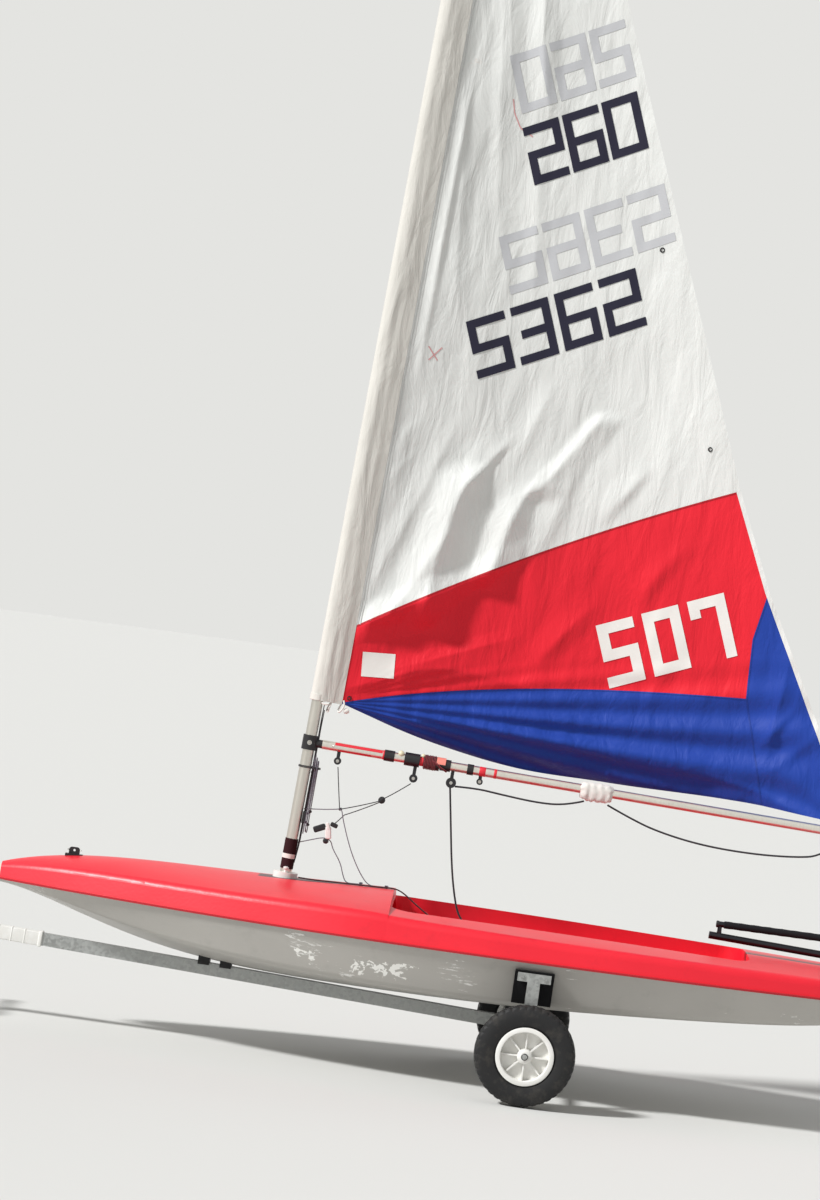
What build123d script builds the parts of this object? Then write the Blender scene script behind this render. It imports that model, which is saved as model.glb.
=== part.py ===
"""Single-handed sailing dinghy, rigged, standing on its two-wheeled launching trolley.

Millimetres. Stations are measured aft from the bow, heights up from the floor and
half widths from the centreline. +X points aft, +Y to starboard and +Z up. At the end
the whole boat is shifted along X, so that the origin lies under the middle of its box.
"""

import os

from build123d import *

# Hull and deck
LENGTH = 3400
JOIN_HEIGHT = 550
FLANGE_OUT = 9
FLANGE_THICK = 9
FOREDECK_END = 1600
CHINE_ROUND = 55
SHOULDER_ROUND = 38
DECK_SIDE_SLOPE = 0.22

# One row for each cross-section: station, half beam, keel depth, chine half width,
# chine depth, deck shoulder height and deck crown height, from the join plane.
SECTIONS = (
    (0, 48, 14, 34, 9, 52, 70),
    (150, 132, 42, 92, 26, 74, 110),
    (450, 268, 128, 190, 82, 92, 146),
    (900, 430, 214, 335, 146, 100, 156),
    (FOREDECK_END, 574, 242, 470, 184, 104, 170),
    (2100, 600, 238, 500, 184, 92, 128),
    (2750, 566, 200, 482, 156, 84, 114),
    (LENGTH, 446, 125, 398, 98, 74, 98),
)
SIDE_DECK_CROWN = 132

# How far a cutting shape reaches past what it cuts
CUT = 300

# Cockpit well
WELL_FRONT = FOREDECK_END + 4
WELL_BACK = 3050
WELL_HALF_FRONT = 392
WELL_HALF_BACK = 318
WELL_FLOOR = 112
WELL_WALL = 6
WELL_CORNER = 95
CUDDY_DEPTH = 170
CUDDY_HALF = 330
CUDDY_ROOF = 118
CUDDY_CORNER = 70

# Mast step and gate
MAST_STATION = 1150
MAST_RAKE = 2.9
MAST_DIAMETER = 48
MAST_WALL = 2.5
UPPER_DIAMETER = 42.5
STEP_DEPTH = 290
STEP_CLEARANCE = 0.8
GATE_OUT = 26
GATE_THICK = 24
DECK_AT_MAST = 158
MAST_SPLIT = 2650
MAST_TOP = 5270
SPIGOT = 180
CAP_HEIGHT = 14
CAP_ROUND = 6
FIT = 0.3

# Deck fittings
BOW_EYE_STATION = 285
BOW_EYE_THICK = 8
BOW_EYE_HOLE = 10
DRAIN_DIAMETER = 24
DRAIN_DEPTH = 30
DRAIN_OUT = 130
DRAIN_DROP = 52

# Boom
BOOM_HEIGHT = 560
BOOM_DIAMETER = 38
BOOM_WALL = 2
BOOM_START = 52
BOOM_END = 2260
BOOM_RISE = 0.9
COLLAR_THICK = 7
COLLAR_HEIGHT = 60
JAW_LENGTH = 90
PLUG_IN = 40
PLUG_OUT = 14

# Sail, in the mast's own frame: outwards along the boom, and up the mast
SLEEVE_FOOT = 735
SLEEVE_HALF = 31
SLEEVE_TAIL = 100
SAIL_THICK = 3
SAIL_DRAFT = 0.07
CLEW = (2236, 628)
HEAD = (78, MAST_TOP - 30)
LEECH_LOW = (1538, 1883)
LEECH_HIGH = (731, 3735)
RED_TOP_FRONT = (SLEEVE_TAIL - 2, 1058)
RED_TOP_MID = (800, 1500)
BLUE_TOP_BACK = (1719, 1056)
BLUE_UP = (1700, 1300)
BLUE_UP_BACK = (1727, 1500)
FOOT_FRONT = (SLEEVE_TAIL - 2, SLEEVE_FOOT + 4)
FOOT_MID = (1150, 628)

# Rudder and tiller
PINTLE_GAP = 46
LUG_ROUND = 10
STOCK_GAP = 16
PINTLE_DIAMETER = 8
STOCK_WIDTH = 44
STOCK_LENGTH = 150
STOCK_TOP = 150
STOCK_BOTTOM = 120
STOCK_ROUND = 30
STRAP_PLATE = (34, 24, 6)
TOP_STRAP_LIFT = 70
LOW_STRAP_DROP = 94
BLADE_THICK = 22
BLADE_LENGTH = 500
BLADE_HALF = 68
BLADE_ROOM = 6
BLADE_PIVOT_LOW = 70
BLADE_PIN = 10
TILLER_DIAMETER = 30
TILLER_FRONT = 2890
TILLER_LOW = 132
BOSS_BACK = 40
BOSS_DIAMETER = 20
EXTENSION_FRONT = 16
TILLER_HIGH = 160
EXTENSION_DIAMETER = 24
EXTENSION_LENGTH = 720
EXTENSION_LIFT = 48

# Trolley
TYRE_RADIUS = 200
TYRE_WIDTH = 98
RIM_RADIUS = 108
RIB_COUNT = 8
WHEEL_GAP = 37
AXLE_STATION = 2200
AXLE_DIAMETER = 38
AXLE_SHORT = 8
STUB_DIAMETER = 20
STUB_OUT = 4
BAR_SIZE = 50
BAR_WALL = 3
BAR_FRONT = -300
BAR_BACK = 2260
BAR_FRONT_HEIGHT = 372
POST_HALF = 602
POST_WIDTH = 50
POST_THICK = 24
POST_TOP = 512
WHEEL_HALF_TRACK = POST_HALF + POST_THICK / 2 + WHEEL_GAP + TYRE_WIDTH / 2
TEE_LENGTH = 132
TEE_HEIGHT = 34
PAD_LENGTH = 156
PAD_HEIGHT = 138
PAD_THICK = 24
GUSSET_REACH = 84
GUSSET_HEIGHT = 96
GUSSET_DROP = 110
HUB_RADIUS = 30
HUB_HALF = 34
RIM_WALL = 14
RIM_HALF = 40
WEB_HALF = 6
RIB_THICK = 6
RIB_HALF = 26
RIB_BITE = 4
TYRE_ROUND = 40
REST_LENGTH = 46
REST_GAP = 44
REST_WIDTH = 84
REST_STATION = 915
SADDLE_WRAP = 8
SADDLE_REACH = 120
CHOCK_LENGTH = 180
CHOCK_WIDTH = 64
HANDLE_DIAMETER = 32
HANDLE_HALF = 300
LEG_SIZE = 40
LEG_BACK = 90
FOOT_HALF = 190
FOOT_HEIGHT = 25
FOOT_WIDTH = 50
FOOT_ROUND = 14


def bar_height(station):
    """Height of the drawbar's top face, which rises forward from the axle."""
    back = TYRE_RADIUS + AXLE_DIAMETER / 2 + BAR_SIZE
    return back + (BAR_FRONT_HEIGHT - back) * (AXLE_STATION - station) / (AXLE_STATION - BAR_FRONT)


def across(station, outline):
    """Face standing square across the boat at a station, heights from the join plane."""
    return Plane.YZ.offset(station) * Pos(0, JOIN_HEIGHT) * outline


def hull_section(row):
    station, beam, keel, chine, chine_depth, _, _ = row
    points = ((beam, 0), (chine, -chine_depth), (0, -keel), (-chine, -chine_depth), (-beam, 0))
    bilge = min(CHINE_ROUND, 0.35 * chine_depth)
    return across(station, make_face(FilletPolyline(*points, radius=(0, bilge, 0, bilge, 0), close=True)))


def deck_section(row, crown=None):
    station, beam, _, _, _, shoulder, top = row
    top = crown or top
    inner = beam - DECK_SIDE_SLOPE * shoulder
    outline = Line((beam, 0), (inner, shoulder))
    outline += ThreePointArc((inner, shoulder), (0, top), (-inner, shoulder))
    outline += Line((-inner, shoulder), (-beam, 0))
    outline += Line((-beam, 0), (beam, 0))
    face = make_face(outline)
    shoulders = face.vertices().filter_by(lambda corner: corner.Y > shoulder / 2)
    return across(station, fillet(shoulders, min(SHOULDER_ROUND, 0.3 * shoulder + 0.06 * beam)))


def flange_section(row):
    station, beam = row[:2]
    rim = Rectangle(2 * (beam + FLANGE_OUT), FLANGE_THICK, align=(Align.CENTER, Align.MIN))
    return across(station, rim)


def well(wall=0):
    """Cockpit well, or with a wall thickness the outside of its moulding."""
    front, back = WELL_FRONT - wall, WELL_BACK + wall
    wide, narrow = WELL_HALF_FRONT + wall, WELL_HALF_BACK + wall
    corners = ((front, -wide), (front, wide), (back, narrow), (back, -narrow))
    plan = make_face(FilletPolyline(*corners, radius=WELL_CORNER + wall, close=True))
    floor = JOIN_HEIGHT - WELL_FLOOR - wall
    top = JOIN_HEIGHT if wall else JOIN_HEIGHT + CUT
    return Pos(0, 0, floor) * extrude(plan, top - floor)


def cuddy(wall=0):
    """Hollow under the foredeck's aft end, open to the cockpit."""
    half, roof = CUDDY_HALF + wall, CUDDY_ROOF
    low = -WELL_FLOOR - wall
    arch = Pos(0, (roof + low) / 2) * RectangleRounded(2 * half, roof - low, CUDDY_CORNER)
    front = WELL_FRONT - CUDDY_DEPTH - wall
    return extrude(across(front, arch), WELL_FRONT + WELL_CORNER - front)


def rig(shape):
    """Moves a shape from the mast's own frame into the boat."""
    foot = Pos(MAST_STATION, 0, JOIN_HEIGHT + DECK_AT_MAST) * Rotation(0, MAST_RAKE, 0)
    return foot * shape


def pipe(diameter, wall, low, high):
    """Upright tube between two heights of the mast's frame."""
    ring = Circle(diameter / 2) - Circle(diameter / 2 - wall)
    return Pos(0, 0, low) * extrude(ring, high - low)


def rod(diameter, start, end):
    """Solid round bar from point to point."""
    start, end = Vector(*start), Vector(*end)
    along = Plane(origin=start, z_dir=end - start)
    return along * extrude(Circle(diameter / 2), (end - start).length)


def top_of(shape, station):
    """Height of a shape's top on the centreline at a station."""
    hits = shape.find_intersection_points(Axis((station, 0, 3000), (0, 0, -1)))
    return max(point.Z for point, _ in hits)


def block(size, low_centre):
    """Box by its size and the middle of its lowest face."""
    return Pos(*low_centre) * Box(*size, align=(Align.CENTER, Align.CENTER, Align.MIN))


parts = {}

# Hull and deck mouldings
hull = loft([hull_section(row) for row in SECTIONS])
fore_rows = [row for row in SECTIONS if row[0] <= FOREDECK_END]
aft_rows = [row for row in SECTIONS if row[0] >= FOREDECK_END]
foredeck = loft([deck_section(row) for row in fore_rows])
after_sections = [deck_section(aft_rows[0], SIDE_DECK_CROWN)]
after_sections += [deck_section(row) for row in aft_rows[1:]]
afterdeck = loft(after_sections)
flange = loft([flange_section(row) for row in SECTIONS])
step_length = STEP_DEPTH + CUT
step_bore = rig(Pos(0, 0, -STEP_DEPTH) * extrude(Circle(MAST_DIAMETER / 2 + STEP_CLEARANCE), step_length))
above_join = block((LENGTH, 2 * WELL_HALF_FRONT, CUT), (LENGTH / 2, 0, JOIN_HEIGHT))
liner = well(WELL_WALL) + (cuddy(WELL_WALL) - above_join)
parts["hull_moulding"] = hull - liner - step_bore
arch_length = CUDDY_DEPTH
arch_room = block((arch_length, LENGTH, CUT), (WELL_FRONT - arch_length / 2, 0, JOIN_HEIGHT + FLANGE_THICK))
deck = foredeck + afterdeck + flange - well() - cuddy() - step_bore
parts["deck_moulding"] = deck - arch_room
parts["foredeck_arch"] = deck & arch_room
parts["cockpit_liner"] = liner - well() - cuddy() - step_bore
drain = rod(DRAIN_DIAMETER, (LENGTH - DRAIN_DEPTH, DRAIN_OUT, JOIN_HEIGHT - DRAIN_DROP),
            (LENGTH + CUT, DRAIN_OUT, JOIN_HEIGHT - DRAIN_DROP))
parts["hull_moulding"] -= drain

# Deck fittings
GATE_SINK, KNOB_DIAMETER, KNOB_HEIGHT = 30, 14, 12
gate_bore = Pos(0, 0, -CUT) * extrude(Circle(MAST_DIAMETER / 2 + STEP_CLEARANCE), 2 * CUT)
gate = Pos(0, 0, -GATE_SINK) * extrude(Circle(MAST_DIAMETER / 2 + GATE_OUT), GATE_THICK + GATE_SINK) - gate_bore
knob_out = MAST_DIAMETER / 2 + KNOB_DIAMETER
knobs = [rod(KNOB_DIAMETER, (0, side * knob_out, GATE_THICK - 2), (0, side * knob_out, GATE_THICK + KNOB_HEIGHT))
         for side in (-1, 1)]
parts["mast_gate"] = rig(gate + knobs) - parts["deck_moulding"]

bow_top = top_of(parts["deck_moulding"], BOW_EYE_STATION)
BOW_BASE, BOW_SINK, BOW_PLATE, BOW_HOLE_LIFT = (70, 34, 26), 20, (44, BOW_EYE_THICK, 34), 21
bow_base = block(BOW_BASE, (BOW_EYE_STATION, 0, bow_top - BOW_SINK))
bow_plate = block(BOW_PLATE, (BOW_EYE_STATION, 0, bow_top))
bow_plate = fillet(bow_plate.edges().filter_by(Axis.Y).group_by(Axis.Z)[-1], 12)
bow_hole = rod(BOW_EYE_HOLE, (BOW_EYE_STATION, -CUT, bow_top + BOW_HOLE_LIFT),
               (BOW_EYE_STATION, CUT, bow_top + BOW_HOLE_LIFT))
parts["bow_fitting"] = bow_base + bow_plate - bow_hole - parts["deck_moulding"]

CASE_FRONT, CASE_LENGTH, CASE_WIDTH, CASE_TOP = 1762, 178, 96, 62
CASE_CORNER, CASE_LIP = 26, 14
SLOT_LENGTH, SLOT_WIDTH = 120, 34
case_middle = CASE_FRONT + CASE_LENGTH / 2
case_floor = JOIN_HEIGHT - WELL_FLOOR
case = Pos(case_middle, 0, case_floor) * extrude(
    RectangleRounded(CASE_LENGTH, CASE_WIDTH, CASE_CORNER), WELL_FLOOR + CASE_TOP)
case = fillet(case.edges().group_by(Axis.Z)[-1], CASE_LIP)
slot = Pos(case_middle, 0, 0) * extrude(SlotOverall(SLOT_LENGTH, SLOT_WIDTH), 2 * JOIN_HEIGHT)
parts["daggerboard_case"] = case - slot
parts["hull_moulding"] -= slot
parts["cockpit_liner"] -= slot

BLOCK_STATION, BLOCK_STAND = 1968, (40, 44, 66)
SHEAVE_DIAMETER, SHEAVE_HALF, SHEAVE_LIFT = 52, 11, 86
sheave_height = case_floor + SHEAVE_LIFT
sheave = rod(SHEAVE_DIAMETER, (BLOCK_STATION, -SHEAVE_HALF, sheave_height),
             (BLOCK_STATION, SHEAVE_HALF, sheave_height))
stand = block(BLOCK_STAND, (BLOCK_STATION, 0, case_floor))
parts["mainsheet_floor_block"] = fillet(stand.edges().filter_by(Axis.Z), 8) + sheave

STRAP_FRONT, STRAP_BACK, STRAP_WIDTH, STRAP_THICK, STRAP_LIFT = 2030, 3030, 46, 4, 46
ANCHOR_LENGTH, ANCHOR_WIDTH = 40, 60
strap_middle = (STRAP_FRONT + STRAP_BACK) / 2
strap = block((STRAP_BACK - STRAP_FRONT, STRAP_WIDTH, STRAP_THICK), (strap_middle, 0, case_floor + STRAP_LIFT))
for anchor_station in (STRAP_FRONT + ANCHOR_LENGTH / 2, STRAP_BACK - ANCHOR_LENGTH / 2):
    strap += block((ANCHOR_LENGTH, ANCHOR_WIDTH, STRAP_LIFT), (anchor_station, 0, case_floor))
parts["toe_strap"] = strap

# Steering gear
pintle_station = LENGTH + PINTLE_GAP
LUG_OFFSETS, LUG_THICK, LUG_PLATE = (44, -76), 8, (4, 30, 44)
lugs = []
for lug_offset in LUG_OFFSETS:
    low = JOIN_HEIGHT + lug_offset
    lug = block((PINTLE_GAP, 2 * LUG_ROUND, LUG_THICK), (LENGTH + PINTLE_GAP / 2, 0, low))
    lug += rod(2 * LUG_ROUND, (pintle_station, 0, low), (pintle_station, 0, low + LUG_THICK))
    lug += block(LUG_PLATE, (LENGTH + LUG_PLATE[0] / 2, 0, low + LUG_THICK / 2 - LUG_PLATE[2] / 2))
    lug -= rod(PINTLE_DIAMETER + 1, (pintle_station, 0, low - CUT), (pintle_station, 0, low + CUT))
    lugs.append(lug)
parts["transom_gudgeons"] = Compound(lugs)

stock_centre = pintle_station + STOCK_GAP + STOCK_LENGTH / 2
cheeks = block((STOCK_LENGTH, STOCK_WIDTH, STOCK_TOP + STOCK_BOTTOM), (stock_centre, 0, JOIN_HEIGHT - STOCK_BOTTOM))
cheeks = fillet(cheeks.edges().filter_by(Axis.Y), STOCK_ROUND)
pivot = (stock_centre, JOIN_HEIGHT - BLADE_PIVOT_LOW)
gap_height = BLADE_HALF + BLADE_ROOM + CUT
blade_gap = block((2 * STOCK_LENGTH, BLADE_THICK + 4 * FIT, gap_height), (stock_centre, 0, pivot[1] - CUT))
cheeks -= blade_gap
low_strap = JOIN_HEIGHT - LOW_STRAP_DROP
strap_middle = pintle_station + STRAP_PLATE[0] / 2 - LUG_ROUND
pintle = rod(PINTLE_DIAMETER, (pintle_station, 0, low_strap - STRAP_PLATE[2]),
             (pintle_station, 0, JOIN_HEIGHT + TOP_STRAP_LIFT + 3 * STRAP_PLATE[2]))
straps = block(STRAP_PLATE, (strap_middle, 0, JOIN_HEIGHT + TOP_STRAP_LIFT))
for cheek in (-1, 1):
    straps += block((STRAP_PLATE[0], 8, STRAP_PLATE[2]), (strap_middle, cheek * (BLADE_THICK / 2 + 6), low_strap))
straps += block((12, STRAP_PLATE[1], STRAP_PLATE[2]), (pintle_station, 0, low_strap))
pin_half = STOCK_WIDTH / 2 + 4
blade_pin = rod(BLADE_PIN, (pivot[0], -pin_half, pivot[1]), (pivot[0], pin_half, pivot[1]))
parts["rudder_stock"] = cheeks + pintle + straps + blade_pin

tip_half = 0.78 * BLADE_HALF
blade_outline = Circle(BLADE_HALF) + make_face(FilletPolyline(
    (0, BLADE_HALF), (BLADE_LENGTH, tip_half), (BLADE_LENGTH, -tip_half), (0, -BLADE_HALF),
    radius=(0, 0.7 * tip_half, 0.5 * tip_half, 0), close=True))
blade = Pos(pivot[0], BLADE_THICK / 2, pivot[1]) * Rotation(90, 0, 0) * extrude(blade_outline, BLADE_THICK)
blade -= rod(BLADE_PIN + 2 * FIT, (pivot[0], -CUT, pivot[1]), (pivot[0], CUT, pivot[1]))
parts["rudder_blade"] = blade

tiller_back = (stock_centre + STOCK_LENGTH / 5, 0, JOIN_HEIGHT + TILLER_LOW)
tiller_front = (TILLER_FRONT, 0, JOIN_HEIGHT + TILLER_HIGH)
tiller = rod(TILLER_DIAMETER, tiller_back, tiller_front)
swing_station = TILLER_FRONT + BOSS_BACK
boss_top = JOIN_HEIGHT + TILLER_HIGH + TILLER_DIAMETER / 2 + 3
boss = rod(BOSS_DIAMETER, (swing_station, 0, JOIN_HEIGHT + TILLER_HIGH - 4), (swing_station, 0, boss_top))
parts["tiller"] = tiller + boss
parts["rudder_stock"] -= tiller

extension_height = JOIN_HEIGHT + TILLER_HIGH + EXTENSION_LIFT
knuckle = rod(BOSS_DIAMETER - 2, (swing_station, 0, boss_top + FIT), (swing_station, 0, extension_height))
reach = rod(EXTENSION_DIAMETER, (swing_station - EXTENSION_FRONT, 0, extension_height),
            (swing_station - EXTENSION_FRONT + EXTENSION_LENGTH, 0, extension_height))
parts["tiller_extension"] = knuckle + reach

# Mast
mast_low = pipe(MAST_DIAMETER, MAST_WALL, -STEP_DEPTH + FIT, MAST_SPLIT)
mast_high = pipe(UPPER_DIAMETER, MAST_WALL, MAST_SPLIT - SPIGOT, MAST_TOP)
parts["mast_lower"] = rig(mast_low)
parts["mast_upper"] = rig(mast_high)
HEEL_WRAP_LOW, HEEL_WRAP_HIGH, HEEL_WRAP_THICK = 38, 162, 2.5
heel_wrap = Pos(0, 0, HEEL_WRAP_LOW) * extrude(
    Circle(MAST_DIAMETER / 2 + HEEL_WRAP_THICK) - Circle(MAST_DIAMETER / 2), HEEL_WRAP_HIGH - HEEL_WRAP_LOW)
parts["mast_heel_wrap"] = rig(heel_wrap)
cap = Pos(0, 0, MAST_TOP) * extrude(Circle(UPPER_DIAMETER / 2), CAP_HEIGHT)
parts["masthead_cap"] = rig(fillet(cap.edges().group_by(Axis.Z)[-1], CAP_ROUND))

# Boom and gooseneck
boom_place = Pos(0, 0, BOOM_HEIGHT) * Rotation(0, -BOOM_RISE, 0)
collar = Pos(0, 0, BOOM_HEIGHT - COLLAR_HEIGHT / 2) * extrude(
    Circle(MAST_DIAMETER / 2 + COLLAR_THICK) - Circle(MAST_DIAMETER / 2), COLLAR_HEIGHT)
nose = boom_place * rod(BOOM_DIAMETER - 2 * BOOM_WALL, (MAST_DIAMETER / 2 + 2, 0, 0), (BOOM_START + JAW_LENGTH, 0, 0))
parts["gooseneck"] = rig(collar + nose - extrude(Circle(MAST_DIAMETER / 2), 2 * BOOM_HEIGHT))
boom_tube = rod(BOOM_DIAMETER, (BOOM_START, 0, 0), (BOOM_END, 0, 0))
boom_tube -= rod(BOOM_DIAMETER - 2 * BOOM_WALL, (BOOM_START - 1, 0, 0), (BOOM_END + 1, 0, 0))
parts["boom"] = rig(boom_place * boom_tube)
plug = rod(BOOM_DIAMETER - 2 * BOOM_WALL, (BOOM_END - PLUG_IN, 0, 0), (BOOM_END, 0, 0))
plug += rod(BOOM_DIAMETER + 2, (BOOM_END, 0, 0), (BOOM_END + PLUG_OUT, 0, 0))
parts["boom_end_plug"] = rig(boom_place * plug)

# Fittings strapped round the boom: outward distance, length and thickness
BOOM_BANDS = ((308, 42, 4), (392, 62, 8), (470, 66, 9), (538, 44, 5), (650, 26, 3))
bands = []
for out, length, thick in BOOM_BANDS:
    band = rod(BOOM_DIAMETER + 2 * thick, (out, 0, 0), (out + length, 0, 0))
    bands.append(band - rod(BOOM_DIAMETER, (out - 1, 0, 0), (out + length + 1, 0, 0)))
parts["boom_bands"] = rig(boom_place * Compound(bands))

WRAP_OUT, WRAP_LENGTH, WRAP_THICK = 1120, 130, 14
wrap = rod(BOOM_DIAMETER + 2 * WRAP_THICK, (WRAP_OUT, 0, 0), (WRAP_OUT + WRAP_LENGTH, 0, 0))
wrap -= rod(BOOM_DIAMETER, (WRAP_OUT - 1, 0, 0), (WRAP_OUT + WRAP_LENGTH + 1, 0, 0))
parts["boom_wrap"] = rig(boom_place * wrap)

# Blocks under the boom: outward distance, drop below the boom's middle, wheel diameter
BOOM_BLOCKS = ((124, 56, 30), (440, 74, 34), (594, 66, 42), (708, 42, 26))
HANGER_LENGTH, HANGER_THICK, WHEEL_HALF = 14, 8, 9
blocks = []
for out, drop, wheel in BOOM_BLOCKS:
    hanger = block((HANGER_LENGTH, HANGER_THICK, drop), (out, 0, -drop))
    wheel_body = rod(wheel, (out, -WHEEL_HALF, -drop), (out, WHEEL_HALF, -drop))
    blocks.append(hanger + wheel_body - rod(BOOM_DIAMETER, (out - 40, 0, 0), (out + 40, 0, 0)))
parts["boom_blocks"] = rig(boom_place * Compound(blocks)) - parts["boom_bands"]

# Luff sleeve and sail
tail = make_face(Polyline((0, SLEEVE_HALF), (SLEEVE_TAIL, SAIL_THICK), (SLEEVE_TAIL, -SAIL_THICK),
                          (0, -SLEEVE_HALF), close=True))
sleeve_outline = (Circle(SLEEVE_HALF) + tail) - Circle(MAST_DIAMETER / 2 + FIT)
sleeve = Pos(0, 0, SLEEVE_FOOT) * extrude(sleeve_outline, MAST_TOP - SLEEVE_FOOT - 12)
parts["luff_sleeve"] = rig(sleeve)


def draft_section(height, chord):
    """Curved strip of cloth at one height, as wide as the sail is there."""
    start, end = SLEEVE_TAIL, chord
    sag = SAIL_DRAFT * (end - start)
    middle = start + 0.45 * (end - start)
    outer = ThreePointArc((start, SAIL_THICK / 2), (middle, sag + SAIL_THICK / 2), (end, SAIL_THICK / 2))
    inner = ThreePointArc((end, -SAIL_THICK / 2), (middle, sag - SAIL_THICK / 2), (start, -SAIL_THICK / 2))
    rim = outer + Line((end, SAIL_THICK / 2), (end, -SAIL_THICK / 2)) + inner
    rim += Line((start, -SAIL_THICK / 2), (start, SAIL_THICK / 2))
    return Pos(0, 0, height) * make_face(rim)


# Height up the mast and the chord that the curved cloth has there
CLOTH_CHORDS = ((BOOM_HEIGHT, 2320), (LEECH_LOW[1], 1680), (LEECH_HIGH[1], 800), (MAST_TOP - 12, 150))
cloth = loft([draft_section(height, chord) for height, chord in CLOTH_CHORDS])


def panel(*lines):
    """Piece of the curved cloth inside an outline drawn on the mast's own plane."""
    outline = make_face(list(lines))
    prism = Pos(0, -2 * CUT, 0) * Rotation(-90, 0, 0) * mirror(outline, Plane.XZ)
    return extrude(prism, 4 * CUT, dir=(0, 1, 0)) & cloth


red_top = ThreePointArc(RED_TOP_FRONT, RED_TOP_MID, LEECH_LOW)
parts["sail_upper_panel"] = rig(panel(
    Line((SLEEVE_TAIL - 4, HEAD[1]), HEAD), Line(HEAD, LEECH_HIGH), Line(LEECH_HIGH, LEECH_LOW), red_top,
    Line(RED_TOP_FRONT, (SLEEVE_TAIL - 4, HEAD[1]))))
parts["sail_red_panel"] = rig(panel(
    red_top, Line(LEECH_LOW, BLUE_UP_BACK), Line(BLUE_UP_BACK, BLUE_UP), Line(BLUE_UP, BLUE_TOP_BACK),
    Line(BLUE_TOP_BACK, FOOT_FRONT), Line(FOOT_FRONT, RED_TOP_FRONT)))
foot = ThreePointArc(FOOT_FRONT, FOOT_MID, CLEW)
parts["sail_foot_panel"] = rig(panel(
    Line(FOOT_FRONT, BLUE_TOP_BACK), Line(BLUE_TOP_BACK, BLUE_UP), Line(BLUE_UP, BLUE_UP_BACK),
    Line(BLUE_UP_BACK, CLEW), foot))

# Trolley
front_top, back_top = bar_height(BAR_FRONT), bar_height(BAR_BACK)
bar_side = Polyline((BAR_FRONT, front_top), (BAR_BACK, back_top), (BAR_BACK, back_top - BAR_SIZE),
                    (BAR_FRONT, front_top - BAR_SIZE), close=True)
bar = Pos(0, BAR_SIZE / 2, 0) * Rotation(90, 0, 0) * extrude(make_face(bar_side), BAR_SIZE)
inner_side = Polyline((BAR_FRONT - 1, front_top - BAR_WALL), (BAR_BACK + 1, back_top - BAR_WALL),
                      (BAR_BACK + 1, back_top - BAR_SIZE + BAR_WALL),
                      (BAR_FRONT - 1, front_top - BAR_SIZE + BAR_WALL), close=True)
hollow = Pos(0, BAR_SIZE / 2 - BAR_WALL, 0) * Rotation(90, 0, 0) * extrude(
    make_face(inner_side), BAR_SIZE - 2 * BAR_WALL)
parts["drawbar"] = bar - hollow

axle_half = WHEEL_HALF_TRACK - TYRE_WIDTH / 2 - AXLE_SHORT
axle = rod(AXLE_DIAMETER, (AXLE_STATION, -axle_half, TYRE_RADIUS), (AXLE_STATION, axle_half, TYRE_RADIUS))
stub_half = WHEEL_HALF_TRACK + TYRE_WIDTH / 2 + STUB_OUT
axle += rod(STUB_DIAMETER, (AXLE_STATION, -stub_half, TYRE_RADIUS), (AXLE_STATION, stub_half, TYRE_RADIUS))
parts["axle"] = axle - parts["drawbar"]

for side, sign in (("port", -1), ("starboard", 1)):
    post = block((POST_WIDTH, POST_THICK, POST_TOP - TYRE_RADIUS), (AXLE_STATION, sign * POST_HALF, TYRE_RADIUS))
    tee = block((TEE_LENGTH, POST_THICK, TEE_HEIGHT), (AXLE_STATION, sign * POST_HALF, POST_TOP - TEE_HEIGHT))
    window = block((PAD_LENGTH, 200, PAD_HEIGHT), (AXLE_STATION, sign * (POST_HALF - 60), POST_TOP + 8 - PAD_HEIGHT))
    gusset_middle = sign * (POST_HALF - GUSSET_REACH / 2)
    gusset = block((POST_WIDTH, GUSSET_REACH, GUSSET_HEIGHT), (AXLE_STATION, gusset_middle, POST_TOP - GUSSET_DROP))
    pad = (window & Pos(0, sign * PAD_THICK, 0) * hull) - hull - flange - post - tee
    parts["side_pad_" + side] = pad
    parts["cradle_post_" + side] = post + tee + (gusset - hull - pad) - axle

    wheel_middle = sign * WHEEL_HALF_TRACK
    turned = Pos(AXLE_STATION, wheel_middle, TYRE_RADIUS) * Rotation(90, 0, 0)
    tyre_section = Pos((TYRE_RADIUS + RIM_RADIUS) / 2, 0) * RectangleRounded(
        TYRE_RADIUS - RIM_RADIUS, TYRE_WIDTH, TYRE_ROUND)
    tyre = revolve(Plane.XZ * tyre_section, Axis.Z)
    parts["tyre_" + side] = turned * tyre
    bore, inside = STUB_DIAMETER / 2 + 1, RIM_RADIUS - RIM_WALL
    rim_section = Polyline((bore, -HUB_HALF), (HUB_RADIUS, -HUB_HALF), (HUB_RADIUS, -WEB_HALF), (inside, -WEB_HALF),
                           (inside, -RIM_HALF), (RIM_RADIUS, -RIM_HALF), (RIM_RADIUS, RIM_HALF), (inside, RIM_HALF),
                           (inside, WEB_HALF), (HUB_RADIUS, WEB_HALF), (HUB_RADIUS, HUB_HALF), (bore, HUB_HALF),
                           close=True)
    rim = revolve(Plane.XZ * make_face(rim_section), Axis.Z)
    rib = Pos((HUB_RADIUS + inside) / 2, 0, 0) * Box(inside - HUB_RADIUS + 2 * RIB_BITE, RIB_THICK, 2 * RIB_HALF)
    rim += [Rotation(0, 0, 360 * turn / RIB_COUNT) * rib for turn in range(RIB_COUNT)]
    parts["wheel_rim_" + side] = turned * rim

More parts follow.
